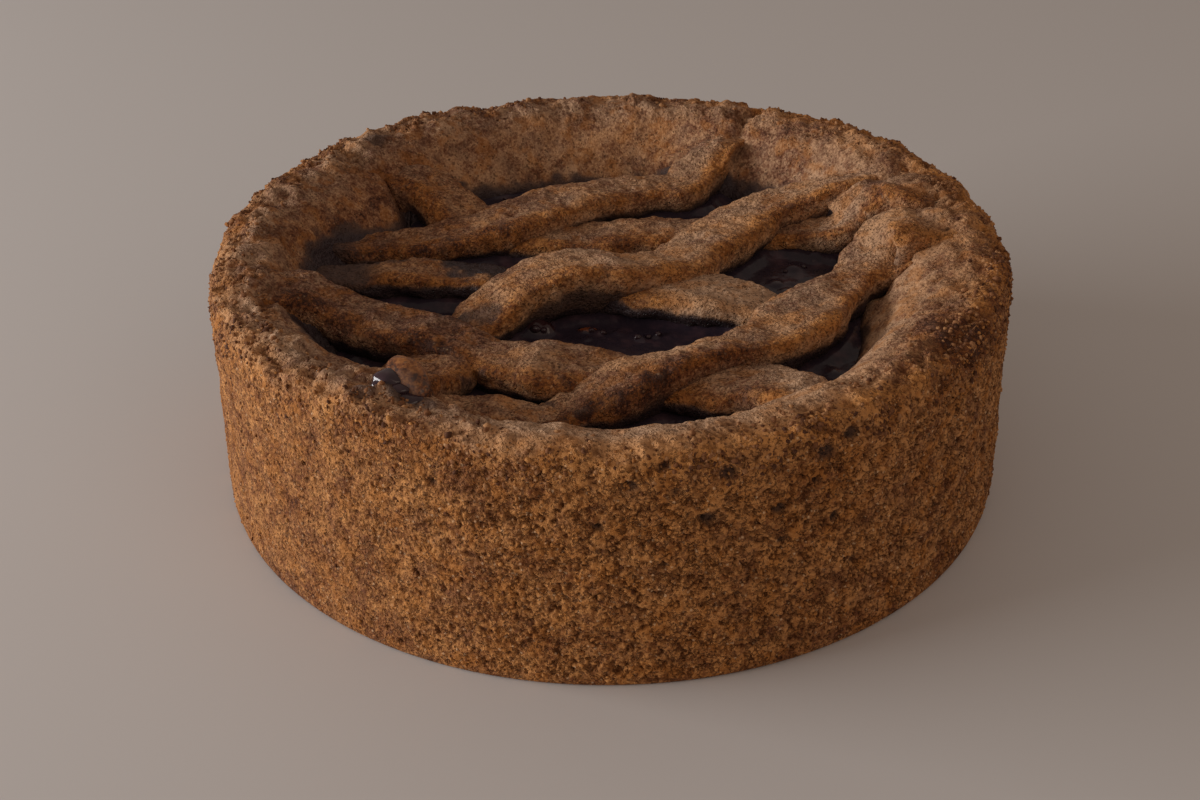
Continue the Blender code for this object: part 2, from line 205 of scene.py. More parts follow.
# Pits in the wall where air or a nut left a hole: angle in degrees, height and radius in mm,
# and how many times wider than high.
PITS = (
    (-63.6, 53.4, 2.9, 1.2), (-76.6, 54.1, 2.4, 1.3), (-88.7, 53.3, 2.3, 1.3), (-83, 51.1, 2, 1.5),
    (-85.6, 52, 1.6, 0.8), (-79, 43.1, 2.6, 1), (-84.4, 57.3, 1.5, 1.4), (-98.9, 55.8, 1.6, 1.1),
    (-93.4, 52.3, 1.5, 1.3), (-93.5, 33.8, 1.4, 1.2), (-84.3, 32.7, 1.5, 1.4), (-92.6, 42.7, 1.3, 1.6),
    (-84.8, 42.7, 1.3, 1.1), (-65, 47.7, 1.4, 1), (-58.7, 22.5, 1.9, 1.4), (-59.5, 56.2, 1.9, 1.3),
    (-69.5, 42.5, 1.5, 1.4), (-69, 34, 1.5, 1.6), (-66, 37, 1.2, 1), (-61.5, 36, 1.4, 0.8),
    (-117.4, 52.5, 1.4, 1), (-112.8, 49.8, 1.5, 1.4), (-109.9, 49.4, 1.3, 1), (-107.4, 51.1, 1.2, 1.2),
    (-143.1, 53, 1.5, 0.9), (-126.5, 50.4, 0.9, 4), (-121, 46, 0.8, 2.2), (-134, 42, 0.8, 1.8),
    (165, 40, 1.6, 1.4), (120, 52, 1.9, 1.2), (75, 35, 1.8, 1.2), (20, 50, 2.2, 1.3),
    (-15, 44, 1.8, 1.2), (100, 24, 1.5, 1), (45, 28, 1.4, 1.6), (-160, 27, 1.3, 1.4),
)
# How much darker the rim is baked: direction and half angle in degrees, amount.
TOAST_LOBES = (
    (-34, 9, 0.44), (-131, 14, 0.08), (-106, 9, 0.10), (176, 25, 0.06), (146, 20, 0.16), (0, 25, 0.15),
    (-84, 26, -0.44),
)

# Mesh fineness.
TOP_COLUMNS = 1040
TOP_STEP = 0.64
WALL_TOP = 52
WALL_WEDGES = 5
WALL_COLUMNS = 440
WALL_STEP = 0.29
STRIP_STEP = 0.5
STRIP_AROUND = 68
JAM_STEP = 0.62
JAM_COLUMNS = 460


# ---------------- number fields
def hashed(cells, seed):
    """A repeatable number from 0 to 1 for each whole-number cell: its coordinates times
    large odd numbers, mixed by shifts and products."""
    whole = cells.astype(np.int64).astype(np.uint64)
    mixed = whole[..., 0] * np.uint64(0x9E3779B97F4A7C15)
    mixed ^= whole[..., 1] * np.uint64(0xC2B2AE3D27D4EB4F)
    mixed ^= whole[..., 2] * np.uint64(0x165667B19E3779F9)
    mixed ^= np.uint64(seed * 104729 + 1013)
    for shift, factor in ((30, 0xBF58476D1CE4E5B9), (27, 0x94D049BB133111EB)):
        mixed ^= mixed >> np.uint64(shift)
        mixed *= np.uint64(factor)
    mixed ^= mixed >> np.uint64(31)
    return (mixed >> np.uint64(40)).astype(np.float64) / 2**24


def soft_noise(points, size, seed):
    """Value noise from -1 to 1: random numbers on a cubic lattice of the given size,
    joined along each axis by the smooth step t * t * (3 - 2 * t)."""
    place = points / size
    low = np.floor(place)
    t = place - low
    t = t * t * (3 - 2 * t)
    total = np.zeros(len(points))
    for corner in np.ndindex(2, 2, 2):
        pick = np.array(corner)
        weight = np.prod(np.where(pick, t, 1 - t), axis=-1)
        total += weight * hashed(low + pick, seed)
    return 2 * total - 1


def rough_noise(points, size, seed, octaves):
    """Layers of soft noise, each half as wide and 0.55 as high as the one before."""
    total = np.zeros(len(points))
    for layer in range(octaves):
        total += 0.55**layer * soft_noise(points, size / 2**layer, seed + layer)
    return total


def grains(points, size, seed):
    """Cellular noise: one random dot in each cube of the given size. Returns the distance to
    the nearest dot, in sizes, the extra distance to the next, and the nearest dot's number."""
    place = points / size
    home = np.floor(place)
    nearest = np.full(len(points), 9.0)
    second = np.full(len(points), 9.0)
    number = np.zeros(len(points))
    for offset in np.ndindex(3, 3, 3):
        cell = home + np.array(offset) - 1
        dot = cell + np.stack([hashed(cell, seed + k) for k in (0, 1, 2)], axis=-1)
        distance = np.linalg.norm(dot - place, axis=-1)
        closer = distance < nearest
        second = np.where(closer, nearest, np.minimum(second, distance))
        number = np.where(closer, hashed(cell, seed + 3), number)
        nearest = np.where(closer, distance, nearest)
    return nearest, second - nearest, number


def unit(vectors):
    """The vectors, each divided by its length."""
    return vectors / np.linalg.norm(vectors, axis=1)[:, None]


def lumps(points, size, seed):
    """Uneven dough: twelve sine waves in random directions, about size long, between -1 and 1."""
    chance = np.random.default_rng(seed)
    directions = unit(chance.normal(size=(12, 3)))
    lengths = size * chance.uniform(0.7, 1.5, 12)
    waves = np.sin(points @ (directions * 2 * math.pi / lengths[:, None]).T + chance.uniform(0, 7, 12))
    return waves.sum(axis=1) / 6


def bell(value, centre, width):
    """A bell curve: e to the power of minus the square of the distance to the centre, in widths."""
    return np.exp(-(((value - centre) / width) ** 2))


def round_bell(angle, direction, half_angle):
    """A bell curve round the rim, of the turn from the direction the shorter way."""
    return bell((angle - direction + 180) % 360 - 180, 0, half_angle)


def lobes(angle, table):
    """The sum of bell curves round the rim, each as high as its lobe says."""
    return sum(amount * round_bell(angle, direction, half_angle) for direction, half_angle, amount in table)


def across_level(points):
    """Each point's distance from the torte's axis."""
    return np.hypot(points[:, 0], points[:, 1])


def direction_of(points):
    """Each point's direction from the axis, in degrees."""
    return np.degrees(np.arctan2(points[:, 1], points[:, 0]))


def ramp(value, start, stop):
    """0 below start, 1 above stop, and the smooth step between them."""
    t = np.clip((value - start) / (stop - start), 0, 1)
    return t * t * (3 - 2 * t)


def smooth_max(a, b, soft):
    """The larger of the two, with the corner where they meet rounded over about soft."""
    return 0.5 * (a + b + np.sqrt((a - b) ** 2 + soft**2))


# ---------------- curves and grids
def smooth_curve(knots, step):
    """A Catmull-Rom curve through the knots, read at even distances of about step."""
    knots = np.asarray(knots, float)
    ends = np.vstack([2 * knots[0] - knots[1], knots, 2 * knots[-1] - knots[-2]])
    t = np.linspace(0, 1, 24, endpoint=False)[:, None]
    dense = []
    for before, start, stop, after in zip(ends, ends[1:], ends[2:], ends[3:]):
        dense.append(0.5 * (2 * start + (stop - before) * t
                            + (2 * before - 5 * start + 4 * stop - after) * t**2
                            + (3 * start - before - 3 * stop + after) * t**3))
    dense = np.vstack(dense + [knots[-1:]])
    return evenly(dense, step)


def lengths_along(line):
    """The distance run along a polyline up to each of its points."""
    return np.concatenate([[0], np.cumsum(np.linalg.norm(np.diff(line, axis=0), axis=1))])


def evenly(dense, step, dimensions=3):
    """A polyline read again at even distances along its first few columns."""
    along = lengths_along(dense[:, :dimensions])
    count = max(2, int(round(along[-1] / step)) + 1)
    wanted = np.linspace(0, along[-1], count)
    return np.stack([np.interp(wanted, along, column) for column in dense.T], axis=1)


def full_turn(count):
    """The angles of that many even steps round a circle."""
    return np.arange(count) * 2 * math.pi / count


def turned_grid(radius, height, turn):
    """A profile's radii and heights turned through the angles: (rows, columns, 3)."""
    upright = np.broadcast_to(np.reshape(height, (-1, 1)), (len(radius), len(turn)))
    return np.stack([radius[:, None] * np.cos(turn), radius[:, None] * np.sin(turn), upright], axis=-1)


def rounded_end(share):
    """A quarter circle's height over its share of the way in, but never less than 0.05."""
    return 0.05 + 0.95 * np.sqrt(1 - (1 - share) ** 2)


def nearest_on(points, line):
    """For each point the nearest of a line's points, and the squared level distance to it."""
    away = points[:, None, :2] - line[None, :, :2]
    squared = np.einsum("ijk,ijk->ij", away, away)
    pick = squared.argmin(axis=1)
    return pick, squared[np.arange(len(points)), pick]


def grid_normals(grid, joined=True):
    """Outward unit normals of a grid (rows, columns, 3): the cross product of the differences
    between neighbours. A joined grid closes on itself along its columns."""
    down = np.gradient(grid, axis=0)
    if joined:
        round_ = 0.5 * (np.roll(grid, -1, axis=1) - np.roll(grid, 1, axis=1))
    else:
        round_ = np.gradient(grid, axis=1)
    normal = np.cross(down, round_)
    length = np.linalg.norm(normal, axis=-1, keepdims=True)
    return normal / np.maximum(length, 1e-12)


def closed_tube(grid):
    """Vertices and faces of a grid whose rows are rings, with a pole added at both ends."""
    rows, columns = grid.shape[:2]
    first, last = grid[0].mean(axis=0), grid[-1].mean(axis=0)
    points = np.vstack([grid.reshape(-1, 3), first, last])
    ring = np.arange(columns)
    after = (ring + 1) % columns
    row = np.arange(rows - 1)[:, None] * columns
    quads = np.stack([row + ring, row + columns + ring, row + columns + after, row + after], axis=-1)
    poles = rows * columns
    start = np.stack([np.full(columns, poles), ring, after], axis=-1)
    bottom = (rows - 1) * columns
    stop = np.stack([np.full(columns, poles + 1), bottom + after, bottom + ring], axis=-1)
    return points, quads.reshape(-1, 4), np.vstack([start, stop])


def closed_wedge(grid, hub):
    """Vertices and faces of an open grid, closed by a fan from its border to the hub inside,
    and the border's vertices in turn."""
    rows, columns = grid.shape[:2]
    number = np.arange(rows * columns).reshape(rows, columns)
    quads = np.stack([number[:-1, :-1], number[1:, :-1], number[1:, 1:], number[:-1, 1:]], axis=-1)
    border = np.concatenate([number[0, :-1], number[:-1, -1], number[-1, :0:-1], number[:0:-1, 0]])
    fan = np.stack([np.full(len(border), rows * columns), border, np.roll(border, -1)], axis=-1)
    return np.vstack([grid.reshape(-1, 3), hub]), quads.reshape(-1, 4), fan, border


def sharpen(mesh, border):
    """The edges along the border made sharp, so that the faces inside don't tint the skin."""
    pairs = np.empty(len(mesh.edges) * 2, np.int32)
    mesh.edges.foreach_get("vertices", pairs)
    on_border = np.zeros(len(mesh.vertices), bool)
    on_border[border] = True
    sharp = on_border[pairs.reshape(-1, 2)].all(axis=1)
    mesh.attributes.new("sharp_edge", "BOOLEAN", "EDGE").data.foreach_set("value", sharp)


def mesh_piece(name, points, quads, triangles, attributes, material, replaced=()):
    """A named object from arrays in mm, with one number per vertex for each attribute."""
    mesh = bpy.data.meshes.new(name)
    quads = np.asarray(quads, np.int64).reshape(-1, 4)
    triangles = np.asarray(triangles, np.int64).reshape(-1, 3)
    mesh.vertices.add(len(points))
    mesh.vertices.foreach_set("co", (points * MM).astype(np.float32).ravel())
    loops = np.concatenate([quads.ravel(), triangles.ravel()])
    mesh.loops.add(len(loops))
    mesh.loops.foreach_set("vertex_index", loops.astype(np.int32))
    starts = np.concatenate([np.arange(len(quads)) * 4, len(quads) * 4 + np.arange(len(triangles)) * 3])
    mesh.polygons.add(len(starts))
    mesh.polygons.foreach_set("loop_start", starts.astype(np.int32))
    mesh.update(calc_edges=True)
    mesh.validate()
    mesh.shade_smooth()
    for key, values in attributes.items():
        layer = mesh.attributes.new(key, "FLOAT", "POINT")
        layer.data.foreach_set("value", np.asarray(values, np.float32).ravel())
    mesh.materials.append(material)
    thing = bpy.data.objects.new(name, mesh)
    bpy.context.scene.collection.objects.link(thing)
    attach(thing, "root")
    if replaced:
        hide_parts(*replaced)
    return thing


# ---------------- the strips' cover over the crust
def strip_paths():
    """Each strip's centre line, read finely, with its width, the level vector to its left, and
    how far it reaches left and right."""
    paths = {}
    for name, route in STRIPS.items():
        line = smooth_curve(route, STRIP_STEP)
        tangent = np.gradient(line[:, :3], axis=0)
        side = unit(np.stack([-tangent[:, 1], tangent[:, 0]], axis=1))
        halves = np.stack([0.5 * line[:, 3], 0.5 * line[:, 3]], axis=1)
        for strip, x, y, reach, left, right in BULGES:
            if strip == name:
                off = np.hypot(line[:, 0] - x, line[:, 1] - y)
                halves += bell(off, 0, reach)[:, None] * (left, right)
        paths[name] = (line, side, halves)
    return paths


PATHS = strip_paths()


def dough_cover(points):
    """Height of the dough that a strip's end spreads over the crust, at each point's x and y:
    the strip's top, less a bowl that grows with the distance from its centre line."""
    cover = np.full(len(points), -1000.0)
    for name, (line, side, halves) in PATHS.items():
        near_wall = ramp(across_level(line), 64, 73)
        used = np.flatnonzero(near_wall > 0)[::3]
        if not len(used):
            continue
        half = len(line) // 2
        spread = np.array(SPREAD[name])
        low = line[used, :2].min(axis=0) - 25
        high = line[used, :2].max(axis=0) + 25
        close = np.flatnonzero(np.all((points[:, :2] > low) & (points[:, :2] < high), axis=1))
        if not len(close):
            continue
        pick, squared = nearest_on(points[close], line[used])
        which = used[pick]
        across = np.einsum("ij,ij->i", points[close, :2] - line[which, :2], side[which])
        beyond = np.sqrt(np.maximum(squared - across**2, 0))
        at_start = which < half
        left = np.where(at_start, spread[0], spread[2])
        right = np.where(at_start, spread[1], spread[3])
        reach = np.where(across > 0, halves[which, 0] + left, halves[which, 1] + right)
        thickness = STRIP_THICKNESS_SHARE * line[which, 3]
        fall = 1.0 + thickness * ((np.abs(across) / reach) ** 2.4 + (beyond / 6) ** 2)
        fall += 12 * (1 - near_wall[which])
        cover[close] = np.maximum(cover[close], line[which, 2] - fall)
    return cover


def jam_run(points):
    """How thickly jam covers dough beside the places where it ran over, with a ragged edge."""
    ragged = 1.2 * soft_noise(points, 3.5, 810) + 0.5 * soft_noise(points, 1.2, 811)
    run = np.zeros(len(points))
    for x, y, size, thick in JAM_RUNS:
        off = np.hypot(points[:, 0] - x, points[:, 1] - y) + ragged
        run = np.maximum(run, thick * ramp(off, size, 0.5 * size))
    return run


def jam_climb(points):
    """How much higher jam stands against the strips and the crust: a bell curve of the level
    distance to the strips' sides, and a ramp towards the crust."""
    nearest = np.full(len(points), 1000.0)
    for line, _, halves in PATHS.values():
        pick, squared = nearest_on(points, line[::4])
        nearest = np.minimum(nearest, np.sqrt(squared) - 0.85 * halves[::4].mean(axis=1)[pick])
    beside = bell(np.maximum(nearest, 0), 0, 2.4)
    return np.maximum(1.7 * beside, 1.2 * ramp(across_level(points), 70, 76))


def crease_depth(points):
    """How far the creases cut in at each point: a bell curve of the distance to each route."""
    depth = np.zeros(len(points))
    for route, deep, half_width in CREASES:
        nearest = np.sqrt(nearest_on(points, smooth_curve(route, 1.5))[1])
        depth = np.maximum(depth, deep * bell(nearest, 0, half_width))
    return depth


# ---------------- crust
def crust_profile():
    """Half of the crust's section as in the CAD model, from the recess over the rim to the base."""
    floor, level, top = RECESS_FLOOR, JAM_LEVEL, RIM_HEIGHT
    radius = TIN_RADIUS
    return ((0.62 * radius, floor), (0.71 * radius, floor + 1.5), (0.75 * radius, level - 2),
            (0.77 * radius, level + 3), (0.80 * radius, top - 9), (0.83 * radius, top - 4.5),
            (0.86 * radius, top - 1.7), (0.90 * radius, top), (0.94 * radius, top + 0.3),
            (0.976 * radius, top - 1.5), (0.994 * radius, top - 4.5), (radius, top - 9),
            (radius, 0.65 * top), (1.002 * radius, 0.50 * top), (1.004 * radius, 0.35 * top),
            (1.006 * radius, 0.2 * top), (1.006 * radius, BASE_ROUNDING + 2),
            (1.003 * radius, 0.5 * BASE_ROUNDING), (0.995 * radius, 0), (0.96 * radius, 0))


def wall_relief(points, height):
    """Crumb that was pressed flat against the tin, in mm along the normal: crumbs of bent
    cellular noise, some parted by slits, some lost, some proud, with a seam and pits. Gives
    the relief, the painted shade of its slits, lost crumbs and seam, and the pits, which the
    material paints dark as shade."""
    bend = np.stack([soft_noise(points, 1.0, 30 + k) for k in range(3)], axis=-1)
    bent = points + 0.38 * bend
    near, gap, number = grains(bent * (1, 1, 1.3), 2.0, 40)
    fine_near, fine_gap, fine_number = grains(bent * (1, 1, 1.2), 1.15, 44)
    parting = soft_noise(points, 1.6, 50)
    slit = ramp(gap, 0.24, 0.05) * ramp(parting, 0.1, 0.4)
    fine_slit = ramp(fine_gap, 0.36, 0.08) * ramp(soft_noise(points, 1.3, 52), -0.1, 0.35)
    # Fewer slits on the left, where the light rakes the wall, so less painted shade there.
    closed = 1 - 0.5 * round_bell(direction_of(points), -150, 48)
    slit *= closed
    fine_slit *= closed
    lost = ramp(number, 0.940, 0.945) * ramp(near, 0.55, 0.3)
    fine_lost = ramp(fine_number, 0.93, 0.95) * ramp(fine_near, 0.6, 0.35)
    proud = ramp(fine_number, 0.14, 0.06) * ramp(fine_near, 0.6, 0.25)
    relief = 0.18 * rough_noise(points, 7, 54, 3) + 0.14 * rough_noise(points, 0.9, 58, 2)
    relief += 0.06 * (0.5 - near) + 0.16 * (0.5 - fine_near) + 0.28 * proud
    relief -= 0.60 * slit + 0.45 * fine_slit + 0.60 * lost + 0.45 * fine_lost
    seam = bell((height - 50) / 0.8, 1.5 * soft_noise(points, 14, 70), 1)
    seam *= ramp(soft_noise(points, 17, 72), 0.05, 0.5)
    hole = np.zeros(len(points))
    ragged = 0.5 * soft_noise(points, 2.2, 90) + 0.25 * soft_noise(points, 0.9, 91)
    for degrees, level, size, stretch in PITS:
        a = math.radians(degrees)
        away = points - np.array([TIN_RADIUS * math.cos(a), TIN_RADIUS * math.sin(a), level])
        sideways = away[:, 1] * math.cos(a) - away[:, 0] * math.sin(a)
        in_or_out = away[:, 0] * math.cos(a) + away[:, 1] * math.sin(a)
        span = np.sqrt((sideways / stretch) ** 2 + in_or_out**2 + away[:, 2] ** 2) + ragged
        hole = np.maximum(hole, ramp(span, size, 0.4 * size))
    relief = relief * (0.15 + 0.85 * closed) - 0.7 * seam - 1.3 * hole
    # Painted shade in the slits, the lost crumbs and the seam.
    dark = 0.85 * slit + 0.60 * fine_slit + 0.85 * lost + 0.7 * fine_lost + 0.5 * seam
    return relief, np.clip(dark, 0, 1), hole


def top_relief(points, radius, height):
    """Baked dough on the rim and inside, in mm along the normal: soft unevenness, flakes of
    ridged noise on the crown, fine wrinkles that run round the rim, and open cracks."""
    crown = ramp(radius, 82, 89) * ramp(height, 53, 58)
    bend = np.stack([soft_noise(points, 3, 110 + k) for k in range(3)], axis=-1)
    bent = points + 0.9 * bend
    flakes = 1 - 2 * np.abs(soft_noise(bent, 3.6, 120)) + 0.5 * (1 - 2 * np.abs(soft_noise(bent, 1.7, 121)))
    direction = np.arctan2(points[:, 1], points[:, 0])
    turned = np.degrees(direction)
    rolled = np.stack([radius / 1.3, direction * 14, height / 1.6], axis=-1)
    wrinkles = soft_noise(rolled + 0.7 * bend, 1, 124) + 0.5 * soft_noise(rolled * 2, 1, 125)
    near, gap, number = grains(bent, 1.5, 128)
    crack = ramp(gap, 0.30, 0.06) * ramp(soft_noise(points, 4, 132), 0.1, 0.5)
    nub = ramp(number, 0.80, 0.95) * ramp(near, 0.6, 0.2)
    relief = 0.45 * rough_noise(points, 8, 134, 3) + 0.13 * rough_noise(points, 1.4, 138, 2)
    rolled_lip = bell(turned, -84, 26)
    craggy = bell(turned, -32, 24) + bell(np.abs(turned), 165, 30) + 0.9 * bell(turned, -134, 18)
    crown = crown * (1 - 0.6 * rolled_lip * ramp(radius, 96, 92))
    crags = 0.7 * rough_noise(points, 7, 146, 3) + 0.4 * rough_noise(bent, 3.2, 148, 2)
    relief += craggy * crown * crags
    relief += crown * (0.38 * flakes + 0.70 * rough_noise(points, 4.5, 140, 3))
    relief += 0.26 * (1 + craggy) * wrinkles * ramp(radius, 80, 86)
    relief += (0.10 + 0.30 * crown) * nub - (0.12 + 0.40 * crown) * crack
    # Painted shade in the cracks and wrinkle lines, painted light on the raised flakes.
    lines = ramp(wrinkles, -0.35, -0.9) * ramp(radius, 80, 86)
    shade = (0.25 + 0.6 * crown) * crack - 0.35 * crown * (flakes - 0.4) + 0.45 * lines
    return relief, np.clip(shade, 0, 1)


def crust_skin(curve, turn, joined):
    """The profile turned through the given angles, pushed out of round as the CAD crust is,
    raised where strips end on it, cut by the creases, and roughened along its normals.
    Gives the grid and one value per point for each attribute."""
    base = turned_grid(curve[:, 0], np.maximum(curve[:, 2], 0), turn)
    points = base.reshape(-1, 3).copy()
    radius = across_level(points)
    angle = direction_of(points)
    height = points[:, 2].copy()

    # Out of round, as the lobes say.
    inside = np.clip((0.94 * TIN_RADIUS - radius) / 12, 0, 1)
    above_floor = np.clip((height - RECESS_FLOOR - 1) / 6, 0, 1)
    near_foot = np.clip((RIM_HEIGHT - 2 - height) / 14, 0, 1)
    inward = inside * above_floor * (lobes(angle, LIP_LOBES) + near_foot * lobes(angle, FOOT_LOBES))
    on_rim = np.clip((height - 40) / 20, 0, 1) * np.clip((radius - 74) / 10, 0, 1)
    uneven = np.clip(height / 8, 0, 1) * np.clip((radius - 70) / 8, 0, 1)
    swell = uneven * (0.55 * lumps(points, 26, 3) + 0.3 * lumps(points, 11, 4))
    swell += np.clip((radius - 86) / 12, 0, 1) * lobes(angle, WALL_LOBES)
    share = (radius - inward + swell) / np.maximum(radius, 1)
    lifted = on_rim * (lobes(angle, HEIGHT_LOBES) + 0.6 * lumps(points, 18, 5))
    points[:, 0] *= share
    points[:, 1] *= share
    points[:, 2] += lifted

    # Strips' ends and creases, on the top only.
    top = np.flatnonzero((radius < 97.5) & (height > RECESS_FLOOR + 0.3))
    if len(top):
        covered = smooth_max(points[top, 2], dough_cover(points[top]), 1.4) - COVER_SINK
        fade = ramp(radius[top], 66, 71) * (1 - ramp(radius[top], 94, 97.5))
        points[top, 2] += fade * (covered - points[top, 2])
        points[top, 2] -= crease_depth(points[top]) * (1 - ramp(radius[top], 92, 97))

    # Relief: pressed crumb on the wall, baked dough on the top, one fading into the other.
    normals = grid_normals(points.reshape(base.shape), joined).reshape(-1, 3)
    wander = 1.4 * soft_noise(points, 6, 20) + 1.4 * soft_noise(points, 15, 21)
    outer = ramp(radius, 96, 98.4) * ramp(height + wander, 60.8, 57.6)
    above = ramp(height, 0.5, 3)
    relief, dark, hole = np.zeros((3, len(points)))
    on_wall, on_top = np.flatnonzero(outer > 0), np.flatnonzero(outer < 1)
    relief[on_wall], dark[on_wall], hole[on_wall] = wall_relief(points[on_wall], height[on_wall])
    if len(on_top):
        high, shade = top_relief(points[on_top], radius[on_top], height[on_top])
        share_top = 1 - outer[on_top]
        relief[on_top] = outer[on_top] * relief[on_top] + share_top * high
        dark[on_top] = outer[on_top] * dark[on_top] + share_top * shade
    points += (above * relief)[:, None] * normals
    points[:, 2] = np.maximum(points[:, 2], 0)

    # Attributes for the material: the wall's, then the inside's and the crown's.
    x, y = points[:, 0], points[:, 1]
    inner = 1 - outer
    crown = ramp(radius, 82, 90) * ramp(height, 52, 58)
    patches = rough_noise(points, 24, 100, 3)
    # Painted light and shade on the wall: the lit left side is browned more and has fewer painted slits, the
    # shaded right side gets a stronger mottle and less gold.
    right_side, left_side = round_bell(angle, -25, 48), round_bell(angle, -145, 48)
    shoulder = bell(angle, -108, 14) + 0.8 * bell(angle, -81, 13)
    # Painted shade and light inside: the left of the recess, in the rim's shadow, is painted darker and
    # warmer, its lit right paler and less golden.
    deep_left = inner * ramp(radius, 92, 80) * ramp(-x, 30, 62)
    deep_right = inner * (1 - crown) * ramp(x, 30, 60)

    toast = 0.34 + 0.06 * patches + 0.10 * ramp(height, 5, 1)
    toast += 0.10 * shoulder * ramp(height, 53, 59) * ramp(radius, 93, 97)
    wall_toast = 0.03 * ramp(height, 46, 56) - 0.12 * bell(height, 47, 7) * bell(angle, -84, 30)
    wall_toast += 0.22 * left_side
    wall_toast += (0.05 + 0.31 * right_side) * rough_noise(points, 3.4, 108, 3)
    wall_toast += (0.15 - 0.08 * left_side) * rough_noise(points * (1, 1, 1.6), 9, 112, 2)
    wall_toast += 0.14 * right_side * soft_noise(points, 1.3, 116)
    toast += outer * wall_toast + 0.30 * deep_left - 0.05 * deep_right + 0.20 * inner * bell(angle, 52, 18)
    toast += crown * (lobes(angle, TOAST_LOBES) - 0.02 + 0.26 * rough_noise(points, 7, 104, 3))
    toast += 0.08 * inner * (1 - crown) * ramp(y, 20, 60)

    golden = 0.22 + 0.20 * ramp(patches, 0.1, 0.7) + 0.85 * outer + 0.80 * crown * ramp(radius, 90, 97)
    golden += 0.10 * deep_left + crown * (0.40 * ramp(x, 10, 80) - 0.22 * inner)
    golden = np.clip(golden, 0, 1) - outer * (0.20 * right_side + 0.10 * left_side)
    golden -= 0.25 * crown * inner * ramp(x, 30, -30) + 0.12 * deep_right

    # Jam stain inside the crust, raised higher by the lobes as painted shade below the rim.
    ragged = 1.2 * soft_noise(points, 3, 106) + 0.6 * soft_noise(points, 1.2, 107)
    soaked = height + 1.5 * patches + ragged - lobes(angle, STAIN_LOBES)
    stain = np.maximum(inner * (1 - crown) * ramp(soaked, 50, 45), inner * jam_run(points))
    open_crumb = 0.12 + 0.88 * outer + 0.30 * crown - 0.40 * outer * left_side
    values = {"toast": toast, "golden": np.clip(golden, 0, 1), "stain": stain,
              "dark": np.clip(dark, 0, 1), "hole": hole, "open": np.clip(open_crumb, 0, 1)}
    return points.reshape(base.shape), values


def crust_pieces(material):
    """The top as one closed shell, and the wall as wedges that meet under the top's edge and
    along a line each. Gives all the grids, for the crumbs."""
    curve = smooth_curve([(r, 0, z) for r, z in crust_profile()], 0.1)
    past_crown = np.arange(len(curve)) > curve[:, 2].argmax()
    split = int(np.flatnonzero(past_crown & (curve[:, 2] < WALL_TOP))[0])
    overlap = 15
    top_curve = evenly(curve[:split + overlap], TOP_STEP)
    wall_curve = evenly(curve[split:], WALL_STEP)

    grid, values = crust_skin(top_curve, full_turn(TOP_COLUMNS), True)
    grids = [grid]
    points, quads, triangles = closed_tube(grid)
    points[-2], points[-1] = (0, 0, RECESS_FLOOR), (0, 0, 0)
    attributes = {key: np.append(value, [0.0, 0.0]) for key, value in values.items()}
    piece = mesh_piece("crust_top", points, quads, triangles, attributes, material, ("crust",))
    sharpen(piece.data, np.arange(grid.shape[1]) + (grid.shape[0] - 1) * grid.shape[1])

    per_wedge = 2 * math.pi / WALL_WEDGES
    for index in range(WALL_WEDGES):
        turn = per_wedge * (index + 0.25 + np.linspace(0, 1, WALL_COLUMNS + 1))
        grid, values = crust_skin(wall_curve, turn, False)
        grids.append(grid)
        points, quads, fan, border = closed_wedge(grid, (0, 0, 0))
        attributes = {key: np.append(value, 0.0) for key, value in values.items()}
        piece = mesh_piece(f"crust_wall_{index + 1}", points, quads, fan, attributes, material,
                           ("crust",))
        sharpen(piece.data, border)
    return grids


# ---------------- strips
def strip_section(count):
    """A flat rounded section one unit wide, an ellipse with its sides filled out, most of all
    at the upper front edge, with its points at even distances."""
    turn = np.linspace(0, 2 * math.pi, 4000)
    front_top = (np.cos(turn) > 0) & (np.sin(turn) > 0)
    sharper = np.where(front_top, 0.62, 1.0)
    across = 0.5 * np.sign(np.cos(turn)) * np.abs(np.cos(turn)) ** (STRIP_FLATNESS[0] * sharper)
    up = np.sign(np.sin(turn)) * np.abs(np.sin(turn)) ** (STRIP_FLATNESS[1] * sharper)
    up *= 0.5 * STRIP_THICKNESS_SHARE
    dense = np.stack([across, up], axis=1)
    return evenly(dense, lengths_along(dense)[-1] / count, 2)[:count]


def along_x(name, value, x):
    """How much one of a strip's values changes at each x: the sum of its rows in STRIP_SHADES."""
    return sum(amount * ramp(x, start, full) for strip, kind, amount, start, full in STRIP_SHADES
               if strip in (name, "all") and kind == value)


def dough_values(count, **given):
    """One value per vertex for each of the dough material's inputs: as given, over again from
    the first where there are too few, or 0."""
    return {key.lower(): np.resize(given.get(key.lower(), 0.0), count) for key in DOUGH_INPUTS}


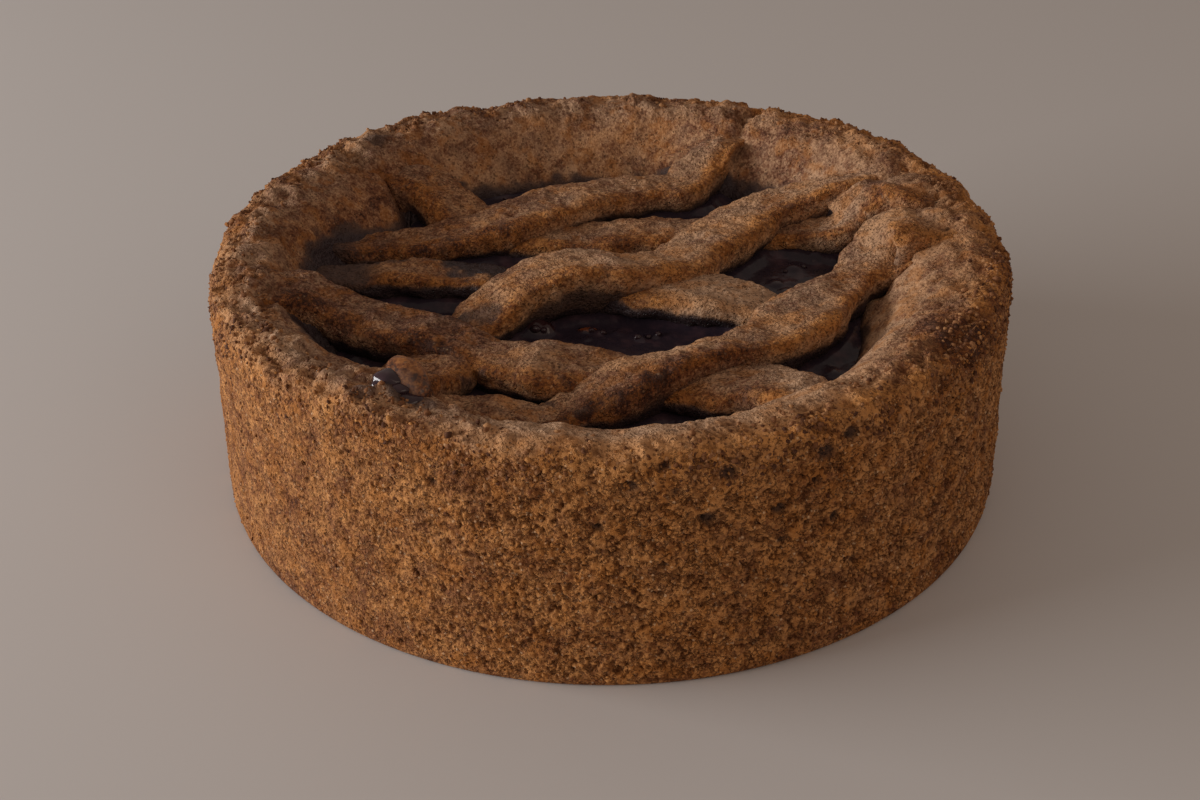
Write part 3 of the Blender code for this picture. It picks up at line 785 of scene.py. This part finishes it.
def strip_piece(name, seed, material):
    """The section carried along the route, level across and square to the run, with rounded
    ends, edges that wander in and out, and sides that go down into the jam; then soft lumps
    as in the CAD model, folds along it, streaks down its sides and a sandy grain."""
    line, side, halves = PATHS[name]
    centre = line[:, :3].copy()
    width = line[:, 3]
    centre[:, 2] -= 0.5 * STRIP_THICKNESS_SHARE * width
    flat_right = np.column_stack([-side, np.zeros(len(side))])
    square_up = np.cross(flat_right, unit(np.gradient(centre, axis=0)))
    lean = math.radians(STRIP_LEAN[name])
    right = math.cos(lean) * flat_right + math.sin(lean) * square_up
    up = math.cos(lean) * square_up - math.sin(lean) * flat_right
    along = lengths_along(centre)
    full = rounded_end(np.clip(np.minimum(along, along[-1] - along) / 5, 0, 1))
    section = strip_section(STRIP_AROUND)
    on_front = section[:, 0] > 0
    on_line = np.column_stack([along, along * 0, along * 0])
    wander = np.stack([soft_noise(on_line, 8, seed + 50 + k) for k in (0, 1)], axis=1)
    edges = halves * (1 + 0.13 * wander)
    sideways = 2 * section[None, :, 0] * np.where(on_front[None], edges[:, 1:], edges[:, :1])
    low = np.clip(-section[:, 1] / (0.5 * STRIP_THICKNESS_SHARE), 0, 1)[None]
    sideways = sideways * (1 - 0.20 * low)
    grid = (centre[:, None, :]
            + (full[:, None] * sideways)[..., None] * right[:, None, :]
            + (width * full)[:, None, None] * np.maximum(section[None, :, 1, None], 0) * up[:, None, :])
    skirt = np.maximum(centre[:, 2] - JAM_LEVEL + 1.2, 0.2 * width)
    skirt += ramp(across_level(centre), 76, 84) * (0.2 * width - skirt)
    grid[..., 2] -= low * (skirt * full)[:, None]
    grid = grid[:, ::-1]
    low = np.broadcast_to(low[:, ::-1], grid.shape[:2]).ravel()
    top_level = np.repeat(line[:, 2], STRIP_AROUND)
    shape = grid.shape
    points = grid.reshape(-1, 3)
    normals = -grid_normals(grid).reshape(-1, 3)
    middle = np.repeat(centre, STRIP_AROUND, axis=0)
    normals *= np.sign(np.einsum("ij,ij->", normals, points - middle))
    relief = 0.5 * lumps(points, 14, seed)
    relief += 0.55 * rough_noise(points * (1, 1, 1.3), 6.5, seed + 200, 3)
    relief += 0.26 * rough_noise(points, 3, seed + 250, 2) + 0.24 * rough_noise(points, 1.5, 300, 2)
    relief += 0.35 * low * rough_noise(points * (1, 1, 0.3), 2.6, 310, 2)
    points = points + relief[:, None] * normals
    points[:, 2] -= 0.6 * crease_depth(points)
    radius = across_level(points)
    points[:, 2] -= STRIP_END_SINK * ramp(radius, 75.5, 84.5)
    kept = np.minimum(radius, 94 + 0.2 * np.maximum(radius - 94, 0)) / np.maximum(radius, 1)
    points[:, :2] *= kept[:, None]

    # The front edge is toasted where it catches the heat and the top is pale; the sides are raw dough,
    # darkened lower down by jam stain and painted shade.
    across = np.tile(section[::-1, 0] * 2, shape[0])
    facing_up = normals[:, 2]
    wander = 0.16 * soft_noise(points, 9, 430 + seed)
    ridge = ramp(across + wander, 0.35, 0.85) * ramp(facing_up, -0.15, 0.45)
    back_edge = ramp(-across + wander, 0.7, 0.98) * ramp(facing_up, 0.0, 0.5)
    x, height = points[:, 0], points[:, 2]
    toast = 0.31 + BROWNED[name] + 0.22 * ridge + 0.10 * back_edge + along_x(name, "toast", x)
    toast += 0.14 * rough_noise(points, 9, 400 + seed, 3) + 0.10 * ramp(height, 58, 64)
    if name in BROWNED_SPOT:
        toast += 0.12 * bell(x, *BROWNED_SPOT[name])
    if name == "strip_front":
        toast += 0.36 * ramp(across + wander, -0.25, 0.35) * ramp(x, 40, 26)
    golden = 0.22 + 0.80 * ridge + 0.15 * back_edge + 0.30 * soft_noise(points, 8, 414 + seed)
    golden += along_x(name, "golden", x)
    level = height + 1.0 * soft_noise(points, 5, 410) + 0.4 * soft_noise(points, 1.5, 411)
    soak = SOAK_LEVEL[name] + along_x(name, "soak", x)
    # Jam stain with painted shade down the sides: darker where they face away from above and lower down, less
    # on the right.
    side_stain = ramp(facing_up, 0.55, 0.15) * ramp(top_level - level, 3.2, 6.6)
    side_stain *= (0.66 - 0.12 * ramp(x, 0, 40)) * (1 + along_x(name, "side", x)) * ramp(radius, 76, 68)
    stain = np.maximum(ramp(level, soak + 0.8, soak - 1.2), side_stain)
    # Painted shade on the left end, under the rim.
    if name in SOAKED_END:
        stain = np.maximum(stain, 0.6 * ramp(x, *SOAKED_END[name]))
    stain = np.maximum(stain, jam_run(points))
    made, quads, triangles = closed_tube(points.reshape(shape))
    values = dough_values(len(made), toast=toast, golden=np.clip(golden, 0, 1), stain=stain, open=0.45)
    mesh_piece(name + "_dough", made, quads, triangles, values, material, (name,))


# ---------------- jam
def jam_piece(material):
    """A round pool on a polar grid: level, with soft waves, thick lumps and small bubbles,
    closed by a flat underside."""
    reach = 0.80 * TIN_RADIUS
    rings = int(reach / JAM_STEP)
    radius = np.linspace(reach, 1.2, rings)
    turn = full_turn(JAM_COLUMNS)
    top = turned_grid(radius, JAM_LEVEL, turn)
    points = top.reshape(-1, 3)
    flat = points * (1, 1, 0)
    wave = 0.4 * soft_noise(flat, 15, 500) + 0.17 * soft_noise(flat, 5, 501)
    near, _, number = grains(flat, 5.5, 510)
    berry = ramp(number, 0.62, 0.75) * ramp(near, 0.55, 0.1)
    small_near, _, small_number = grains(flat, 2.2, 520)
    seed_bump = ramp(small_number, 0.6, 0.75) * ramp(small_near, 0.45, 0.1)
    points[:, 2] += wave + 0.5 * berry * (0.5 + number) + 0.12 * seed_bump + jam_climb(flat)
    berry = 0.5 * berry
    for x, y, length, breadth, high, red in JAM_LUMPS:
        off = np.hypot((points[:, 0] - x) / length, (points[:, 1] - y) / breadth)
        heap = np.exp(-(off**3))
        points[:, 2] += high * heap
        berry = np.maximum(berry, red * ramp(heap, 0.15, 0.6))
    bottom = turned_grid(np.array([0.985 * reach]), JAM_LEVEL - 5, turn)
    grid = np.concatenate([bottom, points.reshape(top.shape)], axis=0)[::-1]
    made, quads, triangles = closed_tube(grid)
    lump = np.append(np.zeros(JAM_COLUMNS), berry).reshape(rings + 1, JAM_COLUMNS)[::-1]
    lump = np.append(lump, [0, 0])
    mesh_piece("jam_pool", made, quads, triangles, {"lump": lump}, material, ("jam",))


def blob(centre, radii, seed, swell, rows=40, columns=56):
    """A closed ball squeezed to the given radii, with soft dents."""
    polar = np.linspace(0.02, math.pi - 0.02, rows)
    ball = turned_grid(np.sin(polar), np.cos(polar), full_turn(columns))
    dent = 1 + swell * rough_noise(ball.reshape(-1, 3), 1.1, seed, 2).reshape(rows, columns, 1)
    return ball * dent * np.array(radii) + np.array(centre)


def drop_piece(material):
    """The drop of jam that boiled over onto the rim."""
    made, quads, triangles = closed_tube(blob(DROP_PLACE, DROP_RADII, 7, 0.28))
    lump = np.full(len(made), 0.5)
    mesh_piece("jam_drip", made, quads, triangles, {"lump": lump}, material, ("jam_drop",))


def bead_piece(material):
    """Small beads of jam, each a squat ball with soft dents, together in one mesh."""
    points, quads, triangles, start = [], [], [], 0
    for number, (x, y, z, across) in enumerate(BEADS):
        flat = 0.9 if across < 4 else 0.55
        radii = 0.5 * across * np.array([1.15, 1.0, flat])
        made, four, three = closed_tube(blob((x, y, z), radii, 900 + number, 0.24, 14, 20))
        points.append(made)
        quads.append(four + start)
        triangles.append(three + start)
        start += len(made)
    points = np.vstack(points)
    mesh_piece("jam_beads", points, np.vstack(quads), np.vstack(triangles),
               {"lump": np.full(len(points), 0.6)}, material)


def tongue_piece(material):
    """A glazed finger of dough beside the drop: circles along a route, as wide as it says."""
    line = smooth_curve(TONGUE, 0.3)
    along = unit(np.gradient(line[:, :3], axis=0))
    flat = unit(np.cross(along, (0, 0, 1)))
    turn = full_turn(40)
    share = np.clip(np.minimum(np.arange(len(line)), np.arange(len(line))[::-1]) / 7, 0, 1)
    radius = 0.5 * line[:, 3] * rounded_end(share)
    upright = 0.8 * np.cross(flat, along)
    ring = np.cos(turn)[None, :, None] * flat[:, None] + np.sin(turn)[None, :, None] * upright[:, None]
    grid = (line[:, None, :3] + radius[:, None, None] * ring)[:, ::-1]
    points = grid.reshape(-1, 3).copy()
    points[:, 2] += 0.35 * rough_noise(points, 3, 640, 2)
    made, quads, triangles = closed_tube(points.reshape(grid.shape))
    values = dough_values(len(made), toast=0.88, golden=1.0, stain=0.5 * jam_run(made))
    mesh_piece("glazed_finger", made, quads, triangles, values, material, ("crust",))


# ---------------- crumbs
def crumb_shape():
    """The twelve corners and twenty faces of an icosahedron."""
    gold = (1 + math.sqrt(5)) / 2
    corners = np.array([(-1, gold, 0), (1, gold, 0), (-1, -gold, 0), (1, -gold, 0),
                        (0, -1, gold), (0, 1, gold), (0, -1, -gold), (0, 1, -gold),
                        (gold, 0, -1), (gold, 0, 1), (-gold, 0, -1), (-gold, 0, 1)])
    corners /= np.linalg.norm(corners[0])
    faces = np.array([(0, 11, 5), (0, 5, 1), (0, 1, 7), (0, 7, 10), (0, 10, 11), (1, 5, 9), (5, 11, 4),
                      (11, 10, 2), (10, 7, 6), (7, 1, 8), (3, 9, 4), (3, 4, 2), (3, 2, 6), (3, 6, 8),
                      (3, 8, 9), (4, 9, 5), (2, 4, 11), (6, 2, 10), (8, 6, 7), (9, 8, 1)])
    return corners, faces


def scattered(name, grids, weigh, count, sizes, lift, seed, material):
    """Crumbs on the grids' surfaces: each is an icosahedron with its corners moved at random,
    stretched, turned and sunk to a share of its size, at a place drawn by weight times area."""
    chance = np.random.default_rng(seed)
    corners, downs, rights = [], [], []
    for grid in grids:
        corner = grid[:-1, :-1].reshape(-1, 3)
        corners.append(corner)
        downs.append(grid[1:, :-1].reshape(-1, 3) - corner)
        rights.append(grid[:-1, 1:].reshape(-1, 3) - corner)
    corner, down, right = np.vstack(corners), np.vstack(downs), np.vstack(rights)
    normal = np.cross(down, right)
    area = np.linalg.norm(normal, axis=-1)
    share = area * weigh(corner)
    pick = chance.choice(len(share), count, p=share / share.sum())
    u, v = chance.random((2, count, 1))
    place = corner[pick] + u * down[pick] + v * right[pick]
    facing = normal[pick] / area[pick][:, None]
    corners, faces = crumb_shape()
    size = np.exp(chance.uniform(math.log(sizes[0]), math.log(sizes[1]), count))
    shapes = corners[None] * chance.uniform(0.6, 1.25, (count, 12, 1))
    stretch = chance.uniform(0.55, 1.25, (count, 1, 3))
    spin = np.linalg.qr(chance.normal(size=(count, 3, 3)))[0]
    spin[np.linalg.det(spin) < 0] *= -1
    shapes = np.einsum("nij,nkj->nki", spin, shapes * stretch) * (0.5 * size)[:, None, None]
    sunk = chance.uniform(lift[0], lift[1], count) * size
    shapes += (place + sunk[:, None] * facing)[:, None, :]
    points = shapes.reshape(-1, 3)
    points[:, 2] = np.maximum(points[:, 2], 0)
    triangles = (faces[None] + 12 * np.arange(count)[:, None, None]).reshape(-1, 3)
    tone = np.repeat(chance.random(count), 12)
    mesh_piece(name, points, [], triangles, {"tone": tone}, material)


# ---------------- materials
def connect(tree, socket, value):
    """A node's input set to a number or a colour, or linked to another node's output."""
    if isinstance(value, bpy.types.NodeSocket):
        tree.links.new(value, socket)
    else:
        socket.default_value = (*value, 1) if isinstance(value, tuple) else value


def wired(tree, kind, inputs=None, **settings):
    """A new node with its settings and its inputs."""
    made = tree.nodes.new(kind)
    for key, value in settings.items():
        setattr(made, key, value)
    for key, value in (inputs or {}).items():
        connect(tree, made.inputs[key], value)
    return made


def mixed(tree, share, first, second):
    """A colour between first and second."""
    return wired(tree, "ShaderNodeMix", {0: share, 6: first, 7: second}, data_type="RGBA").outputs[2]


def joined(tree, operation, a, b):
    """Two numbers added, subtracted or multiplied."""
    return wired(tree, "ShaderNodeMath", {0: a, 1: b}, operation=operation).outputs[0]


def texture(tree, place, scale, detail, roughness=0.5):
    """A noise texture over the place."""
    inputs = {"Vector": place, "Scale": scale, "Detail": detail, "Roughness": roughness}
    return wired(tree, "ShaderNodeTexNoise", inputs).outputs


def between(tree, value, low, high, to_low=0.0, to_high=1.0):
    """The smooth step of value from low to high, given out between to_low and to_high."""
    made = wired(tree, "ShaderNodeMapRange", {"Value": value, "From Min": low, "From Max": high,
                                              "To Min": to_low, "To Max": to_high},
                 interpolation_type="SMOOTHSTEP")
    return made.outputs["Result"]


# The dough material's values, each read from the piece's own, with what it is without one.
DOUGH_INPUTS = {"Toast": 0.4, "Golden": 0.5, "Stain": 0.0, "Dark": 0.0, "Hole": 0.0, "Open": 0.3}


def dough_group():
    """Baked nut dough: golden to grey-brown by two inputs, browned by toast, with pale and
    dark grains, flecks of nut skin, painted shade in slits, pores and holes, jam stains with
    painted shade, and a sandy height."""
    tree = bpy.data.node_groups.new("Baked nut dough", "ShaderNodeTree")
    face = tree.interface
    face.new_socket("Place", in_out="INPUT", socket_type="NodeSocketVector")
    for name, value in DOUGH_INPUTS.items():
        face.new_socket(name, in_out="INPUT", socket_type="NodeSocketFloat").default_value = value
    for name, kind in (("Colour", "Color"), ("Height", "Float"), ("Roughness", "Float")):
        face.new_socket(name, in_out="OUTPUT", socket_type="NodeSocket" + kind)
    given = wired(tree, "NodeGroupInput").outputs
    place, opened = given["Place"], given["Open"]
    mask, mix = partial(between, tree), partial(mixed, tree)
    plus, less, times = (partial(joined, tree, operation) for operation in ("ADD", "SUBTRACT", "MULTIPLY"))

    def noise(scale, detail, roughness=0.6):
        return texture(tree, place, scale, detail, roughness)[0]

    patches, mottle = noise(70, 4), noise(260, 4, 0.65)
    speckle, fibre = noise(1250, 3, 0.7), noise(700, 3, 0.65)
    fleck, blotch = noise(430, 2), noise(150, 3)
    sand = wired(tree, "ShaderNodeTexVoronoi", {"Vector": place, "Scale": 1100, "Randomness": 1}).outputs
    sand_number = wired(tree, "ShaderNodeSeparateColor", {0: sand["Color"]}).outputs[1]

    # Slits between crumbs, painted dark as shade: the borders of bent cells a millimetre wide, where a noise
    # opens them.
    bend = texture(tree, place, 900, 1)["Color"]
    bent = wired(tree, "ShaderNodeVectorMath", {0: bend, "Scale": 0.0011}, operation="SCALE").outputs[0]
    bent = wired(tree, "ShaderNodeVectorMath", {0: bent, 1: place}, operation="ADD").outputs[0]
    cells = wired(tree, "ShaderNodeTexVoronoi", {"Vector": bent, "Scale": 900, "Randomness": 1},
                  feature="DISTANCE_TO_EDGE").outputs["Distance"]
    slit = times(times(mask(cells, 0.16, 0.03), mask(noise(820, 2), 0.48, 0.60)), opened)

    # Browning: the piece's own value, with patches, mottles and grains around it.
    brown = plus(given["Toast"], mask(patches, 0.32, 0.68, -0.12, 0.12))
    brown = plus(brown, mask(speckle, 0.32, 0.68, -0.22, 0.22))
    even = less(1.0, times(opened, 0.65))
    brown = plus(brown, times(mask(mottle, 0.32, 0.68, -0.24, 0.24), even))
    brown = plus(brown, mask(sand_number, 0.0, 1.0, -0.08, 0.08))
    pale = mix(given["Golden"], (0.53, 0.330, 0.200), (0.60, 0.268, 0.080))
    deep = mix(given["Golden"], (0.165, 0.067, 0.037), (0.190, 0.060, 0.016))
    colour = mix(mask(brown, 0.05, 0.9), pale, deep)

    # Over it, each by its own share: scorched dough, orange and grey patches, pores painted dark as shade,
    # pale grains, nut skin, slits and the crumb's crevices painted dark as shade, holes painted dark as
    # shade, and thin and thick jam stain with painted shade.
    dusk = mix(mask(opened, 0.45, 0.6), (0.190, 0.115, 0.078), (0.150, 0.062, 0.036))
    pore = times(mask(sand_number, 0.30, 0.22), mask(sand["Distance"], 0.42, 0.22))
    grain = times(mask(sand_number, 0.88, 0.94), mask(sand["Distance"], 0.5, 0.2))
    layers = (
        (mask(brown, 0.75, 1.15), (0.050, 0.019, 0.012)),
        (times(mask(blotch, 0.50, 0.64), mask(opened, 0.5, 1.0, 0.45, 0.7)), (0.44, 0.168, 0.036)),
        (times(mask(blotch, 0.47, 0.36), 0.32), dusk),
        (times(pore, 0.6), (0.110, 0.045, 0.018)),
        (times(grain, mask(opened, 0.3, 1.0, 0.2, 0.85)), (0.74, 0.48, 0.27)),
        (times(mask(fleck, 0.655, 0.70), 0.55), (0.055, 0.026, 0.014)),
        (times(slit, 0.75), (0.110, 0.032, 0.006)),
        (times(given["Dark"], 0.80), (0.095, 0.027, 0.006)),
        (times(given["Hole"], 0.88), (0.052, 0.031, 0.026)),
        # Thin and thick jam stain, which also carries painted shade.
        (mask(given["Stain"], 0.0, 0.55, 0.0, 0.9), (0.080, 0.047, 0.038)),
        (mask(given["Stain"], 0.45, 1.0, 0.0, 0.95), (0.042, 0.027, 0.030)),
    )
    for share, shade in layers:
        colour = mix(share, colour, shade)

    height = less(less(times(sand["Distance"], -0.45), pore), times(slit, 1.4))
    height = plus(plus(height, times(speckle, 0.55)), times(fibre, 0.6))
    dull = less(0.86, times(given["Stain"], 0.50))
    wired(tree, "NodeGroupOutput", {"Colour": colour, "Height": height, "Roughness": dull})
    return tree


def new_material(name):
    """A material with only its shader, its node tree, and the place on the piece."""
    material = bpy.data.materials.new(name)
    material.use_nodes = True
    tree = material.node_tree
    return material, tree, wired(tree, "ShaderNodeTexCoord").outputs["Object"]


def bumped(tree, height, strength, distance):
    """A normal bent by the height."""
    inputs = {"Height": height, "Strength": strength, "Distance": distance}
    return wired(tree, "ShaderNodeBump", inputs).outputs[0]


def finish(tree, inputs):
    """The shader's inputs, set or linked."""
    for key, value in inputs.items():
        connect(tree, tree.nodes["Principled BSDF"].inputs[key], value)


def value_of(tree, name):
    """The piece's own value of that name."""
    return wired(tree, "ShaderNodeAttribute", attribute_name=name).outputs["Fac"]


def dough_material(name, group, relief, coat=0.0):
    """The dough group, fed with the piece's own values."""
    material, tree, place = new_material(name)
    inputs = {key: value_of(tree, key.lower()) for key in DOUGH_INPUTS}
    dough = wired(tree, "ShaderNodeGroup", {"Place": place, **inputs}, node_tree=group).outputs
    finish(tree, {"Base Color": dough["Colour"], "Roughness": dough["Roughness"], "Coat Weight": coat,
                  "Specular IOR Level": 0.25, "Normal": bumped(tree, dough["Height"], relief, 0.0008)})
    return material


def crumb_material(name, pale, middle, deep):
    """Each crumb one tone from its own random number, with a fine mottle."""
    material, tree, place = new_material(name)
    mottle = texture(tree, place, 1100, 2)[0]
    tone = joined(tree, "ADD", value_of(tree, "tone"), between(tree, mottle, 0.3, 0.7, -0.2, 0.2))
    colour = mixed(tree, between(tree, tone, 0.0, 0.5), deep, middle)
    colour = mixed(tree, between(tree, tone, 0.5, 1.0), colour, pale)
    finish(tree, {"Base Color": colour, "Roughness": 0.85, "Specular IOR Level": 0.25,
                  "Normal": bumped(tree, mottle, 0.5, 0.0005)})
    return material


def jam_material():
    """Dark cloudy jam, redder and glossier where its piece's lump value is high."""
    material, tree, place = new_material("Dark berry jam")
    cloud, fine = texture(tree, place, 160, 4, 0.6)[0], texture(tree, place, 600, 3)[0]
    lump = value_of(tree, "lump")
    colour = mixed(tree, between(tree, cloud, 0.45, 0.75), (0.028, 0.020, 0.030), (0.070, 0.040, 0.050))
    colour = mixed(tree, between(tree, lump, 0.2, 0.9, 0.0, 0.9), colour, (0.036, 0.012, 0.013))
    colour = mixed(tree, between(tree, lump, 0.9, 1.0, 0.0, 0.8), colour, (0.190, 0.050, 0.016))
    dull = between(tree, fine, 0.35, 0.7, 0.15, 0.24)
    dull = joined(tree, "SUBTRACT", dull, joined(tree, "MULTIPLY", lump, 0.05))
    finish(tree, {"Base Color": colour, "Roughness": dull, "Normal": bumped(tree, fine, 0.25, 0.0005),
                  "Coat Weight": between(tree, lump, 0.2, 0.6, 0.0, 0.5), "Coat Roughness": 0.08,
                  "Specular IOR Level": 0.22})
    return material


# ---------------- build
group = dough_group()
crust_look = dough_material("Baked nut crust", group, 0.75)
strip_look = dough_material("Baked dough strips", group, 0.85)
glazed_look = dough_material("Jam-glazed dough", group, 0.10, 0.5)
jam_look = jam_material()
wall_crumb_look = crumb_material(
    "Golden crumbs", (0.52, 0.24, 0.075), (0.32, 0.125, 0.034), (0.090, 0.030, 0.010))
rim_crumb_look = crumb_material(
    "Toasted crumbs", (0.42, 0.21, 0.09), (0.22, 0.09, 0.036), (0.080, 0.030, 0.014))


def wall_share(points):
    """Where crumbs cling to the wall: in clumps, more of them near the rim."""
    radius, height = across_level(points), points[:, 2]
    clumps = soft_noise(points, 9, 600)
    on_wall = ramp(radius, 96.5, 98.5) * ramp(height, 0.5, 3)
    near_foot = ramp(height, 5, 1.5)
    share = 0.22 + 0.3 * clumps + 1.1 * ramp(height, 46, 57) + 0.7 * near_foot
    return on_wall * np.clip(share, 0.02, None)


def rim_share(points):
    """Where crumbs lie on the rim: in clumps along its shoulder and outer edge."""
    radius, height = across_level(points), points[:, 2]
    clumps = soft_noise(points, 8, 602)
    on_rim = ramp(radius, 86, 93) * ramp(height, 50, 57)
    turned = direction_of(points)
    bare = (1 - 0.9 * bell(turned, -84, 26) * ramp(radius, 96, 91)) * (1 - 0.7 * bell(turned, 25, 24))
    return on_rim * np.clip(0.25 + 0.9 * clumps, 0.03, None) * bare * (1 + bell(turned, -48, 24))


crust_grids = crust_pieces(crust_look)
for seed, strip_name in enumerate(STRIPS, start=20):
    strip_piece(strip_name, seed, strip_look)
jam_piece(jam_look)
drop_piece(jam_look)
tongue_piece(glazed_look)
bead_piece(jam_look)
scattered("wall_crumbs", crust_grids, wall_share, 4400, (0.6, 1.5), (-0.36, 0.0), 700, wall_crumb_look)
scattered("rim_crumbs", crust_grids, rim_share, 4200, (0.5, 1.9), (-0.36, 0.06), 720, rim_crumb_look)


# ---------------- floor, light and camera
def floor_piece():
    """A wide flat disc of rings round the middle, just under the torte."""
    radius = np.array([0.01, 0.1, 0.3, 1.0, 6.0])
    points, quads, triangles = closed_tube(turned_grid(radius, -0.0002, full_turn(64)))
    mesh = bpy.data.meshes.new("studio_floor")
    mesh.from_pydata(points[:-1].tolist(), [], quads.tolist() + triangles[:64].tolist())
    floor = bpy.data.objects.new("studio_floor", mesh)
    bpy.context.scene.collection.objects.link(floor)
    material, tree, _ = new_material("Pale floor")
    finish(tree, {"Base Color": (0.62, 0.60, 0.59), "Roughness": 0.6})
    mesh.materials.append(material)


def soft_light(name, place, aim, size, power, colour):
    """A rectangular lamp at the place, turned to the aim."""
    lamp = bpy.data.lights.new(name, "AREA")
    lamp.shape = "RECTANGLE"
    lamp.size, lamp.size_y = size
    lamp.energy = power
    lamp.color = colour
    thing = bpy.data.objects.new(name, lamp)
    thing.location = place
    thing.rotation_euler = (Vector(aim) - Vector(place)).to_track_quat("-Z", "Y").to_euler()
    bpy.context.scene.collection.objects.link(thing)


# The photograph's camera: how far it stands back, its tilt and roll in degrees, its lens.
CAMERA_BACK = 0.45915
CAMERA_DOWN = 31.1525
CAMERA_ROLL = -0.8917
CAMERA_AIM = (-0.003211, 0, 0.013503)
CAMERA_LENS = 51


def photo_camera():
    """The camera set back from its aim along the line that the tilt gives, and rolled."""
    down, roll = math.radians(CAMERA_DOWN), math.radians(CAMERA_ROLL)
    back = Vector((0, -math.cos(down), math.sin(down)))
    right = Vector((1, 0, 0))
    up = Vector((0, math.sin(down), math.cos(down)))
    turned_right = math.cos(roll) * right + math.sin(roll) * up
    turned_up = math.cos(roll) * up - math.sin(roll) * right
    place = Vector(CAMERA_AIM) + back * CAMERA_BACK
    data = bpy.data.cameras.new("camera")
    data.lens = CAMERA_LENS
    data.sensor_width = 36
    data.clip_start = 0.01
    camera = bpy.data.objects.new("camera", data)
    camera.matrix_world = Matrix((turned_right, turned_up, back)).transposed().to_4x4()
    camera.location = place
    bpy.context.scene.collection.objects.link(camera)
    bpy.context.scene.camera = camera


floor_piece()
soft_light("window", (-1.27, -0.12, 0.32), (0, 0, 0.05), (1.0, 0.30), 15, (1.0, 0.975, 0.96))
soft_light("front_fill", (0.8, -1.2, 1.1), (0, 0, 0.03), (1.0, 1.0), 2.6, (1.0, 0.78, 0.62))
world = bpy.data.worlds.new("soft room")
world.use_nodes = True
world.node_tree.nodes["Background"].inputs["Color"].default_value = (1.0, 0.82, 0.70, 1)
world.node_tree.nodes["Background"].inputs["Strength"].default_value = 0.27
bpy.context.scene.world = world
bpy.context.scene.view_settings.view_transform = "Standard"
photo_camera()
